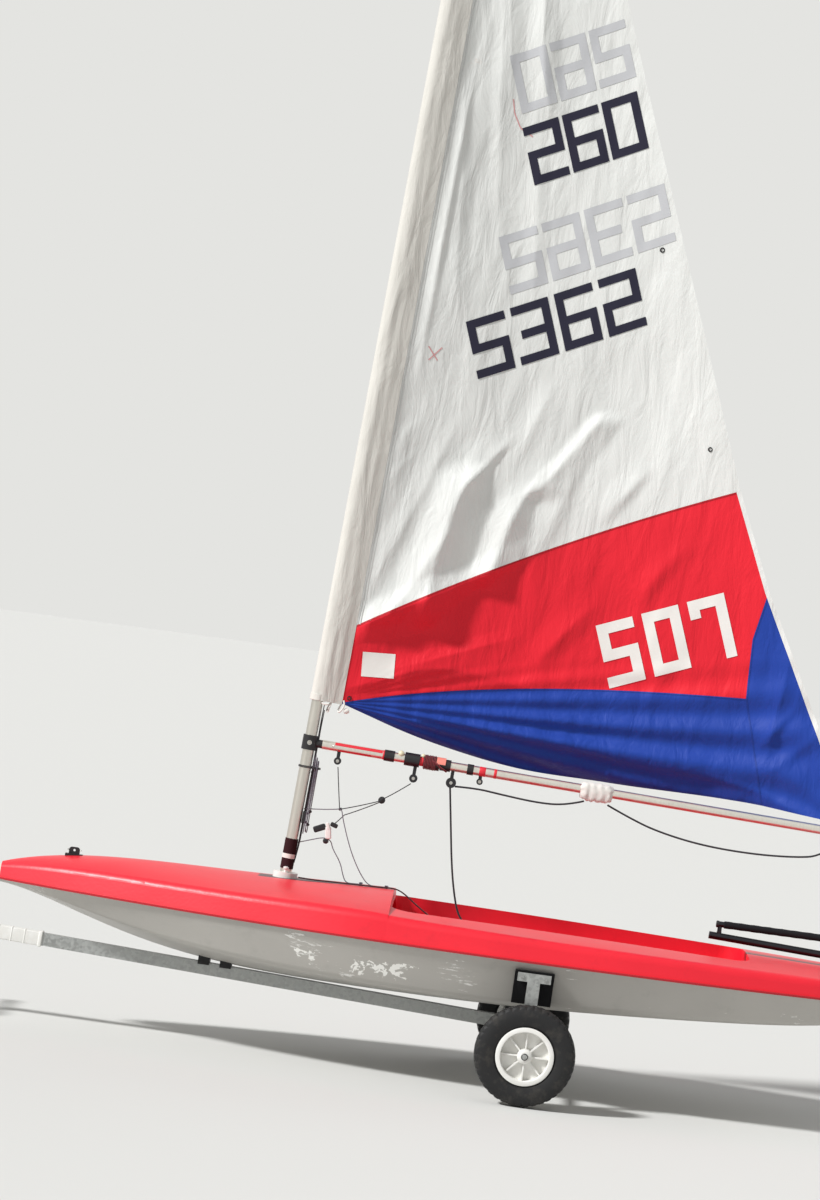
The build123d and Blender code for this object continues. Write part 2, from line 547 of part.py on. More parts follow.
rests = []
for station in (REST_STATION - REST_GAP / 2 - REST_LENGTH / 2, REST_STATION + REST_GAP / 2 + REST_LENGTH / 2):
    rests.append(block((REST_LENGTH, REST_WIDTH, SADDLE_REACH), (station, 0, bar_height(station) - SADDLE_WRAP)) - bar - hull)
parts["keel_rests"] = Compound(rests)
chock_low = bar_height(AXLE_STATION) - SADDLE_WRAP
chock = block((CHOCK_LENGTH, CHOCK_WIDTH, SADDLE_REACH), (AXLE_STATION, 0, chock_low)) - bar
parts["keel_chock"] = chock - hull

handle_height = front_top - BAR_SIZE / 2
parts["handle_bar"] = rod(HANDLE_DIAMETER, (BAR_FRONT - HANDLE_DIAMETER / 2, -HANDLE_HALF, handle_height),
                          (BAR_FRONT - HANDLE_DIAMETER / 2, HANDLE_HALF, handle_height))
leg = block((LEG_SIZE, LEG_SIZE, front_top - BAR_SIZE), (BAR_FRONT + LEG_BACK, 0, 0)) - bar
foot_bar = block((FOOT_WIDTH, 2 * FOOT_HALF, FOOT_HEIGHT), (BAR_FRONT + LEG_BACK, 0, 0))
parts["stand_leg"] = leg + fillet(foot_bar.edges().filter_by(Axis.Z), FOOT_ROUND)

middle = Compound(list(parts.values())).bounding_box().center().X
os.makedirs("parts", exist_ok=True)
for name, shape in parts.items():
    export_step(Pos(-middle, 0, 0) * shape, "parts/" + name + ".step")
print("stations are shifted forward by", round(middle, 3))
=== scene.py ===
"""Sailing dinghy on its launching trolley: finishes, sailcloth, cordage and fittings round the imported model.

Metres, in the model's frame: +X points aft, +Y to starboard and +Z up. Points on the rig are
given in the mast's own frame: out along the boom, to the side, and up the mast from the deck.
"""

import math

import bmesh
import bpy
from bpy.props import FloatProperty, FloatVectorProperty, IntProperty, PointerProperty
from mathutils import Matrix, Vector, noise


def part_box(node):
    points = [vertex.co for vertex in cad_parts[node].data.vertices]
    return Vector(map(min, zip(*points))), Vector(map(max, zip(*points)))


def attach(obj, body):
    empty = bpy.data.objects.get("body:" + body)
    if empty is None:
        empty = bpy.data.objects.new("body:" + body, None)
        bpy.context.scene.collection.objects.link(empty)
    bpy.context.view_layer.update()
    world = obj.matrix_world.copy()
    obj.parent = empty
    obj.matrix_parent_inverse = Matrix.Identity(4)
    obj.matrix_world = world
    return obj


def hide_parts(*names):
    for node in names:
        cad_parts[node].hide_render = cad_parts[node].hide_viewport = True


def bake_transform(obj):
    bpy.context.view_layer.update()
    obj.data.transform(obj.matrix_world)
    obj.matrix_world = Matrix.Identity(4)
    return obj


bl_info = {
    "name": "Sailing dinghy on its trolley",
    "version": (1, 0, 0),
    "blender": (4, 5, 0),
    "location": "View3D > Sidebar > Dinghy",
    "description": "Dresses the packed dinghy with sailcloth, cordage, fittings and finishes",
    "category": "Object",
}

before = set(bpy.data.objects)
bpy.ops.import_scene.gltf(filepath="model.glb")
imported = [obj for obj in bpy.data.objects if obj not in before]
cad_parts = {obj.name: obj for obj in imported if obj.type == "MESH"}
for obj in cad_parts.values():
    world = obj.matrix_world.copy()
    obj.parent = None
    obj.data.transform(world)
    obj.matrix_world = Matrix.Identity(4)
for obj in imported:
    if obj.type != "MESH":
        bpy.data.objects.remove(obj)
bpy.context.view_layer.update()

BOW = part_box("deck_moulding")[0].x
LENGTH = 3.400
JOIN = 0.550
MAST_FOOT = Vector((BOW + 1.150, 0, JOIN + 0.158))
RAKE = math.radians(2.9)
BOOM_UP = 0.560
BOOM_RISE = math.radians(0.9)
BOOM_RADIUS = 0.019
# Stations and heights are metres aft of the bow and above the floor or the hull and deck join
AXLE_STATION = 2.200
AXLE = Vector((BOW + AXLE_STATION, 0, 0.200))
BAR_OVER_AXLE, BAR_SLOPE, BAR_HALF = 0.269, 0.0412, 0.025
WHEEL_SIDE = (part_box("tyre_starboard")[0].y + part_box("tyre_starboard")[1].y) / 2
# Radius of the tyre's middle, half its width and height, and the radius from which it is cut into blocks
TYRE_MIDDLE, TYRE_WIDE, TYRE_TALL, TREAD_RADIUS = 0.154, 0.04655, 0.0445, 0.178
SLEEVE_LOW, SLEEVE_HIGH = 0.735, 5.258
LUFF = 0.100
# The sleeve's radius round the mast, its half thickness at the luff, and the share of its girth between the two
SLEEVE_RADIUS, SLEEVE_EDGE, SLEEVE_FLAT = 0.031, 0.0022, 0.45
MIRROR = {"port": -1, "starboard": 1}
# A radius under this is a point on the axis of a turned form
ON_AXIS = 1e-6
# The camera's yaw, pitch and roll in degrees, its place, and its focal length in pixels of the photograph
VIEW_ANGLES, VIEW_PLACE = (-1.40, -0.13, 7.65), (0.044, -16, 1.932)
FOCAL_PIXELS, PHOTO_HEIGHT, SENSOR = 3932.3, 1200, 36


def linear(code):
    """Scene colour of an sRGB hex value."""
    parts = [int(code[at:at + 2], 16) / 255 for at in (1, 3, 5)]
    return [part / 12.92 if part <= 0.04045 else ((part + 0.055) / 1.055) ** 2.4 for part in parts]


def boat(station, side, height):
    """Point on the boat: metres aft of the bow, to starboard, and above the hull and deck join."""
    return Vector((BOW + station, side, JOIN + height))


def on_boat(*spots):
    return [boat(*spot) for spot in spots]


def rig(out, side, up):
    """Point on the rig, from the mast's own frame."""
    return MAST_FOOT + Vector((out * math.cos(RAKE) + up * math.sin(RAKE), side,
                               up * math.cos(RAKE) - out * math.sin(RAKE)))


def on_rig(*spots):
    return [rig(*spot) for spot in spots]


def bar_middle(station):
    """Point on the middle line of the trolley's drawbar."""
    return Vector((BOW + station, 0, BAR_OVER_AXLE + BAR_SLOPE * (AXLE_STATION - station) - BAR_HALF))


def boom(along, side=0.0, above=0.0):
    """Point on the boom: along it from the mast, to starboard, and above its middle."""
    return rig(along * math.cos(BOOM_RISE) - above * math.sin(BOOM_RISE), side,
               BOOM_UP + along * math.sin(BOOM_RISE) + above * math.cos(BOOM_RISE))


UP_THE_MAST = rig(0, 0, 1) - rig(0, 0, 0)
ALONG_THE_BOOM = boom(1) - boom(0)


# Sizes and colours that a user would change

def colour(name, code, description):
    return FloatVectorProperty(name=name, description=description, default=linear(code), size=3,
                               min=0, max=1, subtype="COLOR")


class DINGHY_PG_mouldings(bpy.types.PropertyGroup):
    deck: colour("Deck", "#E61C30", "Red plastic of the deck moulding")
    hull: colour("Hull", "#B3B0AA", "Grey plastic of the hull moulding")
    scuff: FloatProperty(name="Scuffs", description="Share of the hull's flank that is scuffed",
                         default=0.25, min=0, max=1, subtype="FACTOR")


class DINGHY_PG_sail(bpy.types.PropertyGroup):
    white: colour("White cloth", "#DCDDDA", "Cloth of the upper panel and tapes")
    sleeve: colour("Sleeve cloth", "#D2CFC8", "Heavier cloth of the luff sleeve")
    red: colour("Red cloth", "#E0182C", "Cloth of the red panel")
    blue: colour("Blue cloth", "#0F3A9A", "Cloth of the foot panel")
    creases: FloatProperty(name="Creases", description="Height of the cloth's creases against the real ones",
                           default=1.0, min=0, max=2, subtype="FACTOR")
    cell: FloatProperty(name="Cell", description="Spacing of the cloth's mesh", default=0.014,
                        min=0.005, max=0.1, unit="LENGTH")


class DINGHY_PG_rigging(bpy.types.PropertyGroup):
    sheet: FloatProperty(name="Mainsheet", description="Diameter of the mainsheet", default=0.008,
                         min=0.003, max=0.02, unit="LENGTH")
    line: FloatProperty(name="Control line", description="Diameter of the control lines", default=0.004,
                        min=0.002, max=0.01, unit="LENGTH")


class DINGHY_PG_trolley(bpy.types.PropertyGroup):
    steel: colour("Steel", "#A9ABA9", "Zinc coating of the trolley")
    treads: IntProperty(name="Tread blocks", description="Blocks round each tyre", default=40, min=8, max=90)


class DINGHY_PG_stage(bpy.types.PropertyGroup):
    floor: colour("Floor", "#D9D9D6", "Pale floor")
    sun: FloatProperty(name="Key light", description="Strength of the key light", default=3.8, min=0)
    sky: FloatProperty(name="Fill light", description="Strength of the even fill light", default=0.34, min=0)


# Materials

def add(tree, kind, inputs=None, **settings):
    """Adds one shader node with its settings, and sets or links the inputs named."""
    made = tree.nodes.new("ShaderNode" + kind)
    for key, value in settings.items():
        setattr(made, key, value)
    for key, value in (inputs or {}).items():
        if isinstance(value, bpy.types.NodeSocket):
            tree.links.new(value, made.inputs[key])
        else:
            made.inputs[key].default_value = value
    return made


def opaque(code_or_colour):
    """Colour with its alpha, from a hex value or a property."""
    parts = linear(code_or_colour) if isinstance(code_or_colour, str) else list(code_or_colour)
    return (*parts, 1.0)


def shade(base, share):
    """The same colour, lighter or darker by a share."""
    return tuple(min(1.0, part * share) for part in opaque(base)[:3]) + (1.0,)


class Finish:
    """Material in the making: each method adds one node and gives its output."""

    def __init__(self, name, constants):
        self.made = bpy.data.materials.new(name)
        self.made.use_nodes = True
        self.tree = self.made.node_tree
        self.shader = self.tree.nodes["Principled BSDF"]
        for key, value in constants.items():
            self.shader.inputs[key].default_value = value
        self.place = add(self.tree, "TexCoord").outputs["Object"]

    def noise(self, scale, detail=2.0, roughness=0.5, distortion=0.0, place=None):
        """Cloudy noise, over the object or over a stretched place."""
        return add(self.tree, "TexNoise", {"Vector": self.place if place is None else place, "Scale": scale,
                                           "Detail": detail, "Roughness": roughness,
                                           "Distortion": distortion}).outputs[0]

    def stretched(self, scale, turn=0.0):
        """Place on the object, squeezed along each axis and turned about the Y axis."""
        return add(self.tree, "Mapping", {"Vector": self.place, "Scale": scale, "Rotation": (0, turn, 0)}).outputs[0]

    def cells(self, width):
        """Distance and colour of cells about so wide."""
        return add(self.tree, "TexVoronoi", {"Vector": self.place, "Scale": 1 / width}).outputs

    def span(self, value, low=0.0, high=1.0, start=0.0, end=1.0):
        """Carries the range from low to high over to the one from start to end."""
        return add(self.tree, "MapRange", {"Value": value, "From Min": low, "From Max": high, "To Min": start,
                                           "To Max": end}).outputs[0]

    def math(self, operation, *values):
        return add(self.tree, "Math", dict(enumerate(values)), operation=operation).outputs[0]

    def axes(self, value):
        return add(self.tree, "SeparateXYZ", {0: value}).outputs

    def mix(self, share, first, second):
        return add(self.tree, "Mix", {0: share, 6: first, 7: second}, data_type="RGBA").outputs[2]

    def bump(self, height, distance, strength, **under):
        inputs = {"Height": height, "Distance": distance, "Strength": strength, **under}
        return add(self.tree, "Bump", inputs).outputs[0]

    def done(self, colour, roughness=None, normal=None):
        """Links the shader's inputs and gives the material."""
        for key, value in (("Base Color", colour), ("Roughness", roughness), ("Normal", normal)):
            if value is not None:
                self.tree.links.new(value, self.shader.inputs[key])
        return self.made


def rotomoulded_polyethylene(name, base, scuffs=0.0, band=False):
    """Rotomoulded polyethylene: waxy half-gloss skin with a slow ripple, faded in blotches.

    Scuffs are the pale furred scratches and bright knocks that the soft skin takes from slipways. The pimpled
    strip from the mast aft is coloured near black as painted shade round the mast foot, and with it comes a
    painted shadow along the deck's lower edge at the hull joint.
    """
    kit = Finish(name, {"Roughness": 0.38, "Specular IOR Level": 0.45, "Coat Weight": 0.08, "Coat Roughness": 0.25})
    fade = kit.noise(3.1, 5.0)
    skin = kit.mix(fade, shade(base, 0.88), shade(base, 1.10))
    height = kit.noise(90.0)
    dirt = kit.span(kit.noise(11.0, 8.0, 0.7), 0.56, 0.78, 0, 0.34)
    skin = kit.mix(dirt, skin, shade(base, 0.62))
    if scuffs:
        scratch = kit.noise(1.6, 9.0, 0.72, place=kit.stretched((9.0, 30.0, 46.0), 0.12))
        edge = 0.41 - 0.12 * scuffs
        worn = kit.span(kit.math("MULTIPLY", scratch, kit.noise(3.4)), edge, edge + 0.035)
        skin = kit.mix(worn, skin, opaque("#E9E8E4"))
        height = kit.math("ADD", height, worn)
        x, _, z = kit.axes(kit.place)
        # Bright knocks of 10 to 20 mm in the band that rubs on the slipway
        zone = kit.math("MULTIPLY", kit.noise(30.0, 3.0, 0.62, 0.4), kit.noise(7.0, 1.0))
        for axis, none, full in ((x, BOW + 1.06, BOW + 1.22), (x, BOW + 1.92, BOW + 1.76),
                                 (z, JOIN - 0.20, JOIN - 0.14), (z, JOIN - 0.045, JOIN - 0.085)):
            zone = kit.math("MULTIPLY", zone, kit.span(axis, none, full))
        skin = kit.mix(kit.span(zone, 0.315, 0.335), skin, opaque("#F4F3EE"))
        # Darker towards the bottom than on the flank
        skin = kit.mix(kit.span(z, 0.30, 0.43, 0.5, 0.0), skin, shade(base, 0.74))
    if band:
        x, y, z = kit.axes(kit.place)
        half = kit.span(x, BOW + 1.24, BOW + 1.42, 0.075, 0.024)
        inside = kit.math("SUBTRACT", half, kit.math("ABSOLUTE", y))
        pimple_and_shade_mask = kit.math("MULTIPLY", kit.span(inside, 0.0, 0.003), kit.span(x, BOW + 1.04, BOW + 1.05))
        # Pimples of 3 mm at 7 mm spacing
        height = kit.math("SUBTRACT", height, kit.math("MULTIPLY", kit.cells(0.007)[0], pimple_and_shade_mask))
        # Painted shade: the pimpled strip is coloured near black round the mast foot and along the crest aft
        skin = kit.mix(pimple_and_shade_mask, skin, opaque("#3C0C14"))
        # Painted shadow along the deck's lower edge, under its lip at the hull joint
        skin = kit.mix(kit.span(z, JOIN + 0.006, JOIN + 0.011, 0.75, 0.0), skin, shade(base, 0.30))
    return kit.done(skin, kit.span(fade, 0, 1, 0.3, 0.5), kit.bump(height, 0.0007, 0.5))


def woven_sailcloth(name, base, stains=False):
    """Woven polyester sailcloth: matt, slightly cloudy, with a fine square weave and soft handling creases.

    The real threads are 0.4 mm apart, too fine to show, so the weave is drawn at 3 mm.
    """
    kit = Finish(name, {"Roughness": 0.62, "Sheen Weight": 0.12, "Sheen Roughness": 0.5, "Specular IOR Level": 0.3})
    skin = kit.mix(kit.noise(2.2, 6.0, distortion=0.6), shade(base, 0.9), shade(base, 1.08))
    if stains:
        stain = kit.span(kit.noise(7.0, 6.0, 0.75), 0.66, 0.84, 0, 0.5)
        skin = kit.mix(stain, skin, opaque("#C98F63"))
    threads = [add(kit.tree, "TexWave", {"Vector": kit.place, "Scale": 1 / 0.02}, bands_direction=way).outputs[1]
               for way in "XZ"]
    weave = kit.bump(kit.math("MULTIPLY", *threads), 0.0002, 0.25)
    crumple = kit.noise(1.0, 7.0, 0.55, 0.5, kit.stretched((14.0, 14.0, 4.0), 0.5))
    return kit.done(skin, normal=kit.bump(crumple, 0.02, 0.55, Normal=weave))


def printed_film(name, base):
    """Self-adhesive polyester film: flat and a little glossier than the cloth, rubbed pale in specks."""
    kit = Finish(name, {"Roughness": 0.45, "Specular IOR Level": 0.4})
    rubbed = kit.span(kit.noise(60.0, 6.0, 0.7), 0.55, 0.85, 0, 0.25)
    return kit.done(kit.mix(rubbed, opaque(base), shade(base, 1.35)))


def anodised_aluminium(name, base):
    """Extruded, anodised aluminium: satin metal with fine draw lines along the tube and dull handled patches."""
    kit = Finish(name, {"Metallic": 1.0, "Roughness": 0.34})
    drawn = kit.noise(2.0, 4.0, place=kit.stretched((60.0, 240.0, 3.0)))
    skin = kit.mix(drawn, shade(base, 0.82), shade(base, 1.08))
    return kit.done(skin, kit.span(kit.noise(9.0, 6.0), 0, 1, 0.2, 0.5), kit.bump(drawn, 0.0001, 0.3))


def polished_stainless(name):
    """Pressed stainless steel, polished: bright and smooth with faint tea staining."""
    kit = Finish(name, {"Metallic": 1.0, "Roughness": 0.2})
    haze = kit.noise(45.0, 5.0)
    return kit.done(kit.mix(haze, opaque("#D5D6D4"), opaque("#B4ADA2")), kit.span(haze, 0, 1, 0.14, 0.34))


def galvanised_steel(name, base):
    """Hot-dip galvanised steel: dull grey zinc with crystal spangle, 12 mm across, and rust at its pits."""
    kit = Finish(name, {"Metallic": 0.75, "Roughness": 0.5})
    tone = kit.axes(kit.cells(0.012)["Color"])[0]
    pits = kit.noise(16.0, 9.0, 0.72)
    skin = kit.mix(tone, shade(base, 0.78), shade(base, 1.1))
    skin = kit.mix(kit.span(pits, 0.64, 0.74, 0, 0.7), skin, opaque("#7A5238"))
    return kit.done(skin, kit.span(tone, 0, 1, 0.36, 0.62), kit.bump(pits, 0.0006, 0.4))


def moulded_nylon(name, base, rough=0.42):
    """Injection-moulded nylon: fine spark-eroded grain of about 1 mm, chalked a little by the sun."""
    kit = Finish(name, {"Specular IOR Level": 0.5})
    chalk = kit.noise(22.0, 6.0)
    skin = kit.mix(kit.span(chalk, 0.45, 0.8, 0, 0.4), opaque(base), shade(base, 1.5))
    gloss = kit.span(chalk, 0, 1, rough - 0.1, rough + 0.14)
    return kit.done(skin, gloss, kit.bump(kit.noise(1 / 0.0012), 0.0002, 0.35))


def moulded_rubber(name):
    """Moulded tyre rubber: near black and matt, greyed by dried mud between the blocks."""
    kit = Finish(name, {"Specular IOR Level": 0.35})
    mud = kit.noise(14.0, 8.0, 0.68)
    skin = kit.mix(kit.span(mud, 0.5, 0.75, 0, 0.6), opaque("#1B1B1C"), opaque("#4E4A44"))
    return kit.done(skin, kit.span(mud, 0, 1, 0.4, 0.85), kit.bump(mud, 0.0012, 0.4))


def closed_cell_foam(name, base):
    """Moulded closed-cell foam: soft, matt skin with open pores about 2 mm apart."""
    kit = Finish(name, {"Roughness": 0.86, "Specular IOR Level": 0.2})
    skin = kit.mix(kit.noise(18.0, 6.0), shade(base, 0.75), shade(base, 1.45))
    return kit.done(skin, normal=kit.bump(kit.cells(0.002)[0], 0.0006, 0.6))


def braided_polyester(name, base, fleck):
    """Braided polyester rope or webbing: flecked strands 2 mm wide that catch the light in a chequer."""
    kit = Finish(name, {"Roughness": 0.78, "Sheen Weight": 0.3, "Sheen Roughness": 0.4})
    plait = add(kit.tree, "TexChecker", {"Vector": kit.place, "Scale": 1 / 0.0022, "Color1": opaque(base),
                                         "Color2": opaque(fleck)}).outputs
    skin = kit.mix(kit.noise(70.0, 5.0), plait[0], opaque(base))
    return kit.done(skin, normal=kit.bump(plait[1], 0.0005, 0.6))


FINISHES = {}


def finish(name, maker, *details, **more):
    """The material of a name, made once."""
    if name not in FINISHES:
        FINISHES[name] = maker(name, *details, **more)
    return FINISHES[name]


def black_nylon():
    return finish("moulded_nylon_black", moulded_nylon, "#17171A")


def white_nylon():
    return finish("moulded_nylon_white", moulded_nylon, "#E4E3DE", rough=0.36)


def stainless():
    return finish("stainless_steel_polished", polished_stainless)


def black_rope():
    return finish("polyester_braid_black", braided_polyester, "#16161A", "#2B2B33")


def grey_rope():
    return finish("polyester_braid_grey", braided_polyester, "#55505C", "#8D8894")


def maroon_rope():
    return finish("polyester_braid_maroon", braided_polyester, "#2A0C12", "#4A1820")


def white_webbing():
    return finish("polyester_webbing_white", braided_polyester, "#E9E7E1", "#C9C7C2")


def white_cloth():
    return finish("sailcloth_woven_white", woven_sailcloth, bpy.context.scene.dinghy_sail.white, stains=True)


def sleeve_cloth():
    return finish("sailcloth_woven_sleeve", woven_sailcloth, bpy.context.scene.dinghy_sail.sleeve, stains=True)


def dress(material, *nodes):
    """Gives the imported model's own nodes their finish."""
    for name in nodes:
        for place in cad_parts[name].material_slots:
            place.material = material


# Shapes

def circle(count):
    """Cosine and sine of each of so many steps round a circle."""
    turns = [2 * math.pi * step / count for step in range(count)]
    return [(math.cos(turn), math.sin(turn)) for turn in turns]


def span_rings(shape, rings, closed=False):
    """Faces between neighbouring rings of corners, which are closed or open."""
    for near, far in zip(rings, rings[1:]):
        for at in range(len(near) if closed else len(near) - 1):
            beyond = (at + 1) % len(near)
            shape.faces.new((near[at], near[beyond], far[beyond], far[at]))


def turned(shape, profile, place, segments=32):
    """Turned form added to a mesh in the making: (radius, height) pairs round the place's Z axis."""
    rings = []
    for radius, height in profile:
        if radius < ON_AXIS:
            rings.append([shape.verts.new(place @ Vector((0, 0, height)))] * segments)
        else:
            rings.append([shape.verts.new(place @ Vector((radius * wide, radius * tall, height)))
                          for wide, tall in circle(segments)])
    for low, high in zip(rings, rings[1:]):
        for step in range(segments):
            beyond = (step + 1) % segments
            corners = [low[step], low[beyond], high[beyond], high[step]]
            corners = [corner for at, corner in enumerate(corners) if corner not in corners[:at]]
            if len(corners) > 2:
                shape.faces.new(corners)


def facing(origin, direction):
    """Place whose Z axis points in a direction."""
    turn = Vector(direction).to_track_quat("Z", "Y").to_matrix().to_4x4()
    return Matrix.Translation(origin) @ turn


def eased_box(shape, size, place, ease=0.002):
    """Box with eased edges added to a mesh in the making."""
    part = bmesh.new()
    bmesh.ops.create_cube(part, size=1, matrix=Matrix.Diagonal((*size, 1)))
    bmesh.ops.bevel(part, geom=part.edges[:], offset=ease, segments=3, affect="EDGES", profile=0.6)
    part.transform(place)
    holder = bpy.data.meshes.new("part")
    part.to_mesh(holder)
    part.free()
    shape.from_mesh(holder)
    bpy.data.meshes.remove(holder)


def bar_box(shape, start, end, wide, tall, ease):
    """Eased bar between two points of the rig's plane, so wide across it and so tall within it."""
    eased_box(shape, (wide, tall, (end - start).length), facing((start + end) / 2, end - start), ease)


def sweep(shape, points, radius, sides=10):
    """Round line through points added to a mesh in the making, with closed ends."""
    rings, side = [], None
    for at, point in enumerate(points):
        ahead = (points[min(at + 1, len(points) - 1)] - points[max(at - 1, 0)]).normalized()
        side = (side or ahead.orthogonal()) - ahead * ahead.dot(side or ahead.orthogonal())
        side.normalize()
        across = ahead.cross(side)
        rings.append([shape.verts.new(point + radius * (side * wide + across * tall))
                      for wide, tall in circle(sides)])
    span_rings(shape, rings, closed=True)
    shape.faces.new(rings[0][::-1])
    shape.faces.new(rings[-1])


def set_out(name, shape, material, body=None, crease=35.0):
    """Turns a mesh in the making into a finished piece that rides on a body."""
    bmesh.ops.recalc_face_normals(shape, faces=shape.faces[:])
    for face in shape.faces:
        face.smooth = True
    for edge in shape.edges:
        edge.smooth = edge.calc_face_angle(0) < math.radians(crease)
    mesh = bpy.data.meshes.new(name)
    shape.to_mesh(mesh)
    shape.free()
    piece = bpy.data.objects.new(name, mesh)
    bpy.context.scene.collection.objects.link(piece)
    mesh.materials.append(material)
    if body:
        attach(piece, body)
    return piece


def smooth_curve(name, points):
    """Smooth curve led by a route's points."""
    data = bpy.data.curves.new(name, "CURVE")
    data.dimensions, data.resolution_u = "3D", 10
    spline = data.splines.new("NURBS")
    spline.points.add(len(points) - 1)
    for spot, point in zip(spline.points, points):
        spot.co = (*point, 1)
    spline.order_u, spline.use_endpoint_u = 3, True
    return data


def line(name, points, diameter, material, body):
    """Rope or line as a smooth curve that rides on a body."""
    data = smooth_curve(name, points)
    data.bevel_depth, data.bevel_resolution, data.use_fill_caps = diameter / 2, 3, True
    piece = bpy.data.objects.new(name, data)
    bpy.context.scene.collection.objects.link(piece)
    data.materials.append(material)
    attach(piece, body)
    return piece


def smooth_route(points):
    """Points along the smooth curve of a route, for a line made as a mesh."""
    data = smooth_curve("route", points)
    holder = bpy.data.objects.new("route", data)
    mesh = bpy.data.meshes.new_from_object(holder)
    found = [vertex.co.copy() for vertex in mesh.vertices]
    bpy.data.objects.remove(holder)
    bpy.data.curves.remove(data)
    bpy.data.meshes.remove(mesh)
    return found


def run_length(route):
    """Length of the smooth curve of a route."""
    path = smooth_route(route)
    return sum((b - a).length for a, b in zip(path, path[1:]))


def stopper_knot(name, spot, diameter, material):
    """Overhand stopper knot at the end of a line that lies on the boat."""
    steps = 41
    knot = bmesh.new()
    points = []
    for turn in (2 * math.pi * step / steps for step in range(steps)):
        loop = Vector((math.sin(turn) + 2 * math.sin(2 * turn), -1.3 * math.sin(3 * turn),
                       0.8 * (math.cos(turn) - 2 * math.cos(2 * turn))))
        points.append(spot + 0.55 * diameter * loop)
    sweep(knot, points, diameter / 2, 8)
    return set_out(name, knot, material, "boat")


def pan_head(shape, origin, direction, radius=0.005):
    """Pan-head screw with its driver recess."""
    profile = ((0, 0.45), (0.3, 0.45), (0.34, 0.75), (0.7, 0.62), (1, 0.2))
    turned(shape, [(radius * wide, radius * tall) for wide, tall in profile] + [(radius, -0.001)],
           facing(origin, direction), 14)


def hex_bolt(shape, origin, direction, flats=0.013):
    """Hexagon bolt head on its washer."""
    place = facing(origin, direction)
    turned(shape, [(flats * 0.95, -0.001), (flats * 0.95, 0.0016), (0, 0.0016)], place, 24)
    turned(shape, [(flats * 0.57, 0.0014), (flats * 0.57, flats * 0.42), (flats * 0.5, flats * 0.5),
                   (0, flats * 0.5)], place, 6)


def mirrored(*half):
    """Profile that is alike on both sides of its middle, from the middle up."""
    return [(radius, -height) for radius, height in reversed(half) if height] + list(half)


def ring_band(shape, spot, way, radius, wide, thick, ease=0.001):
    """Band round a spar, with eased edges."""
    turned(shape, [(radius, 0), (radius + thick, ease), (radius + thick, wide - ease), (radius, wide)],
           facing(spot, way), 40)


def tape_strip(shape, start, end, low, high, radius=BOOM_RADIUS + 0.0006):
    """Tape laid along the boom, between two angles above its port side."""
    rows = []
    for step in range(13):
        along = start + (end - start) * step / 12
        angles = [math.radians(low + (high - low) * part / 8) for part in range(9)]
        rows.append([shape.verts.new(boom(along, -radius * math.cos(angle), radius * math.sin(angle)))
                     for angle in angles])
    span_rings(shape, rows)


# Sailcloth

def polyline(*corners):
    """Route by share along straight runs of equal importance."""
    def at(share):
        share = min(max(share, 0), 1) * (len(corners) - 1)
        step = min(int(share), len(corners) - 2)
        inside = share - step
        return tuple(a + (b - a) * inside for a, b in zip(corners[step], corners[step + 1]))
    return at


def bowed(start, middle, end):
    """Route by share along the curve through three points."""
    control = tuple(2 * m - (a + b) / 2 for a, m, b in zip(start, middle, end))

    def at(share):
        return tuple((1 - share) ** 2 * a + 2 * share * (1 - share) * c + share ** 2 * b
                     for a, c, b in zip(start, control, end))
    return at


CLEW, LEECH_LOW, LEECH_HIGH, HEAD = (2.236, 0.628), (1.538, 1.883), (0.731, 3.735), (0.100, 5.190)
TACK, RED_LUFF, RED_MID = (0.098, 0.739), (0.098, 1.058), (0.800, 1.500)
BLUE_CORNER, BLUE_UP, BLUE_UP_BACK = (1.719, 1.056), (1.700, 1.300), (1.727, 1.500)
SEAM_MID, COLUMN_FOOT = (0.800, 0.925), (1.860, 0.640)
FOOT = (TACK, (0.455, 0.650), (0.853, 0.602), (1.220, 0.611), COLUMN_FOOT, CLEW)
# Depth of the strip along the foot that turns under, by distance from the mast
CURL = ((0.098, 0.0), (0.314, 0.040), (0.569, 0.104), (1.087, 0.122), (1.348, 0.096), (1.604, 0.086), (1.840, 0.050),
        (2.030, 0.0), (2.400, 0.0))
# Widest reach of the cloth's curve, by height
CHORDS = ((0.56, 2.32), (1.22, 1.99), (1.883, 1.68), (2.8, 1.25), (3.735, 0.80), (4.5, 0.47), (5.258, 0.15))
# Depth of the cloth's curve as a share of its width, and the points that the foot's and the clew's folds fan out from
CAMBER = 0.07
FAN_HEARTS = (0.05, 0.74), (2.30, 0.60)

# Creases seen in the cloth: start, end, their width before and behind, and height. They run on by a share of
# their length beyond both ends.
CREASE_TAIL = 0.15
CREASES = (
    ((0.86, 1.82), (0.78, 1.52), 0.05, 0.08, 0.006),
    ((0.34, 1.90), (0.14, 1.25), 0.05, 0.07, 0.008),
    ((1.15, 1.90), (1.02, 1.68), 0.04, 0.09, 0.010),
    ((0.16, 3.30), (0.16, 2.20), 0.025, 0.04, 0.008),
    ((0.70, 2.15), (0.62, 1.85), 0.05, 0.07, 0.007),
    ((0.30, 0.92), (0.72, 1.12), 0.05, 0.10, 0.008),
    ((1.02, 1.30), (0.86, 1.06), 0.06, 0.09, 0.010),
    ((1.35, 1.62), (1.22, 1.38), 0.05, 0.07, 0.008),
    ((1.86, 1.28), (1.84, 0.80), 0.05, 0.07, 0.009),
    ((2.02, 0.95), (1.86, 0.78), 0.04, 0.05, 0.008),
    ((1.92, 1.06), (1.80, 0.86), 0.03, 0.05, 0.007),
)

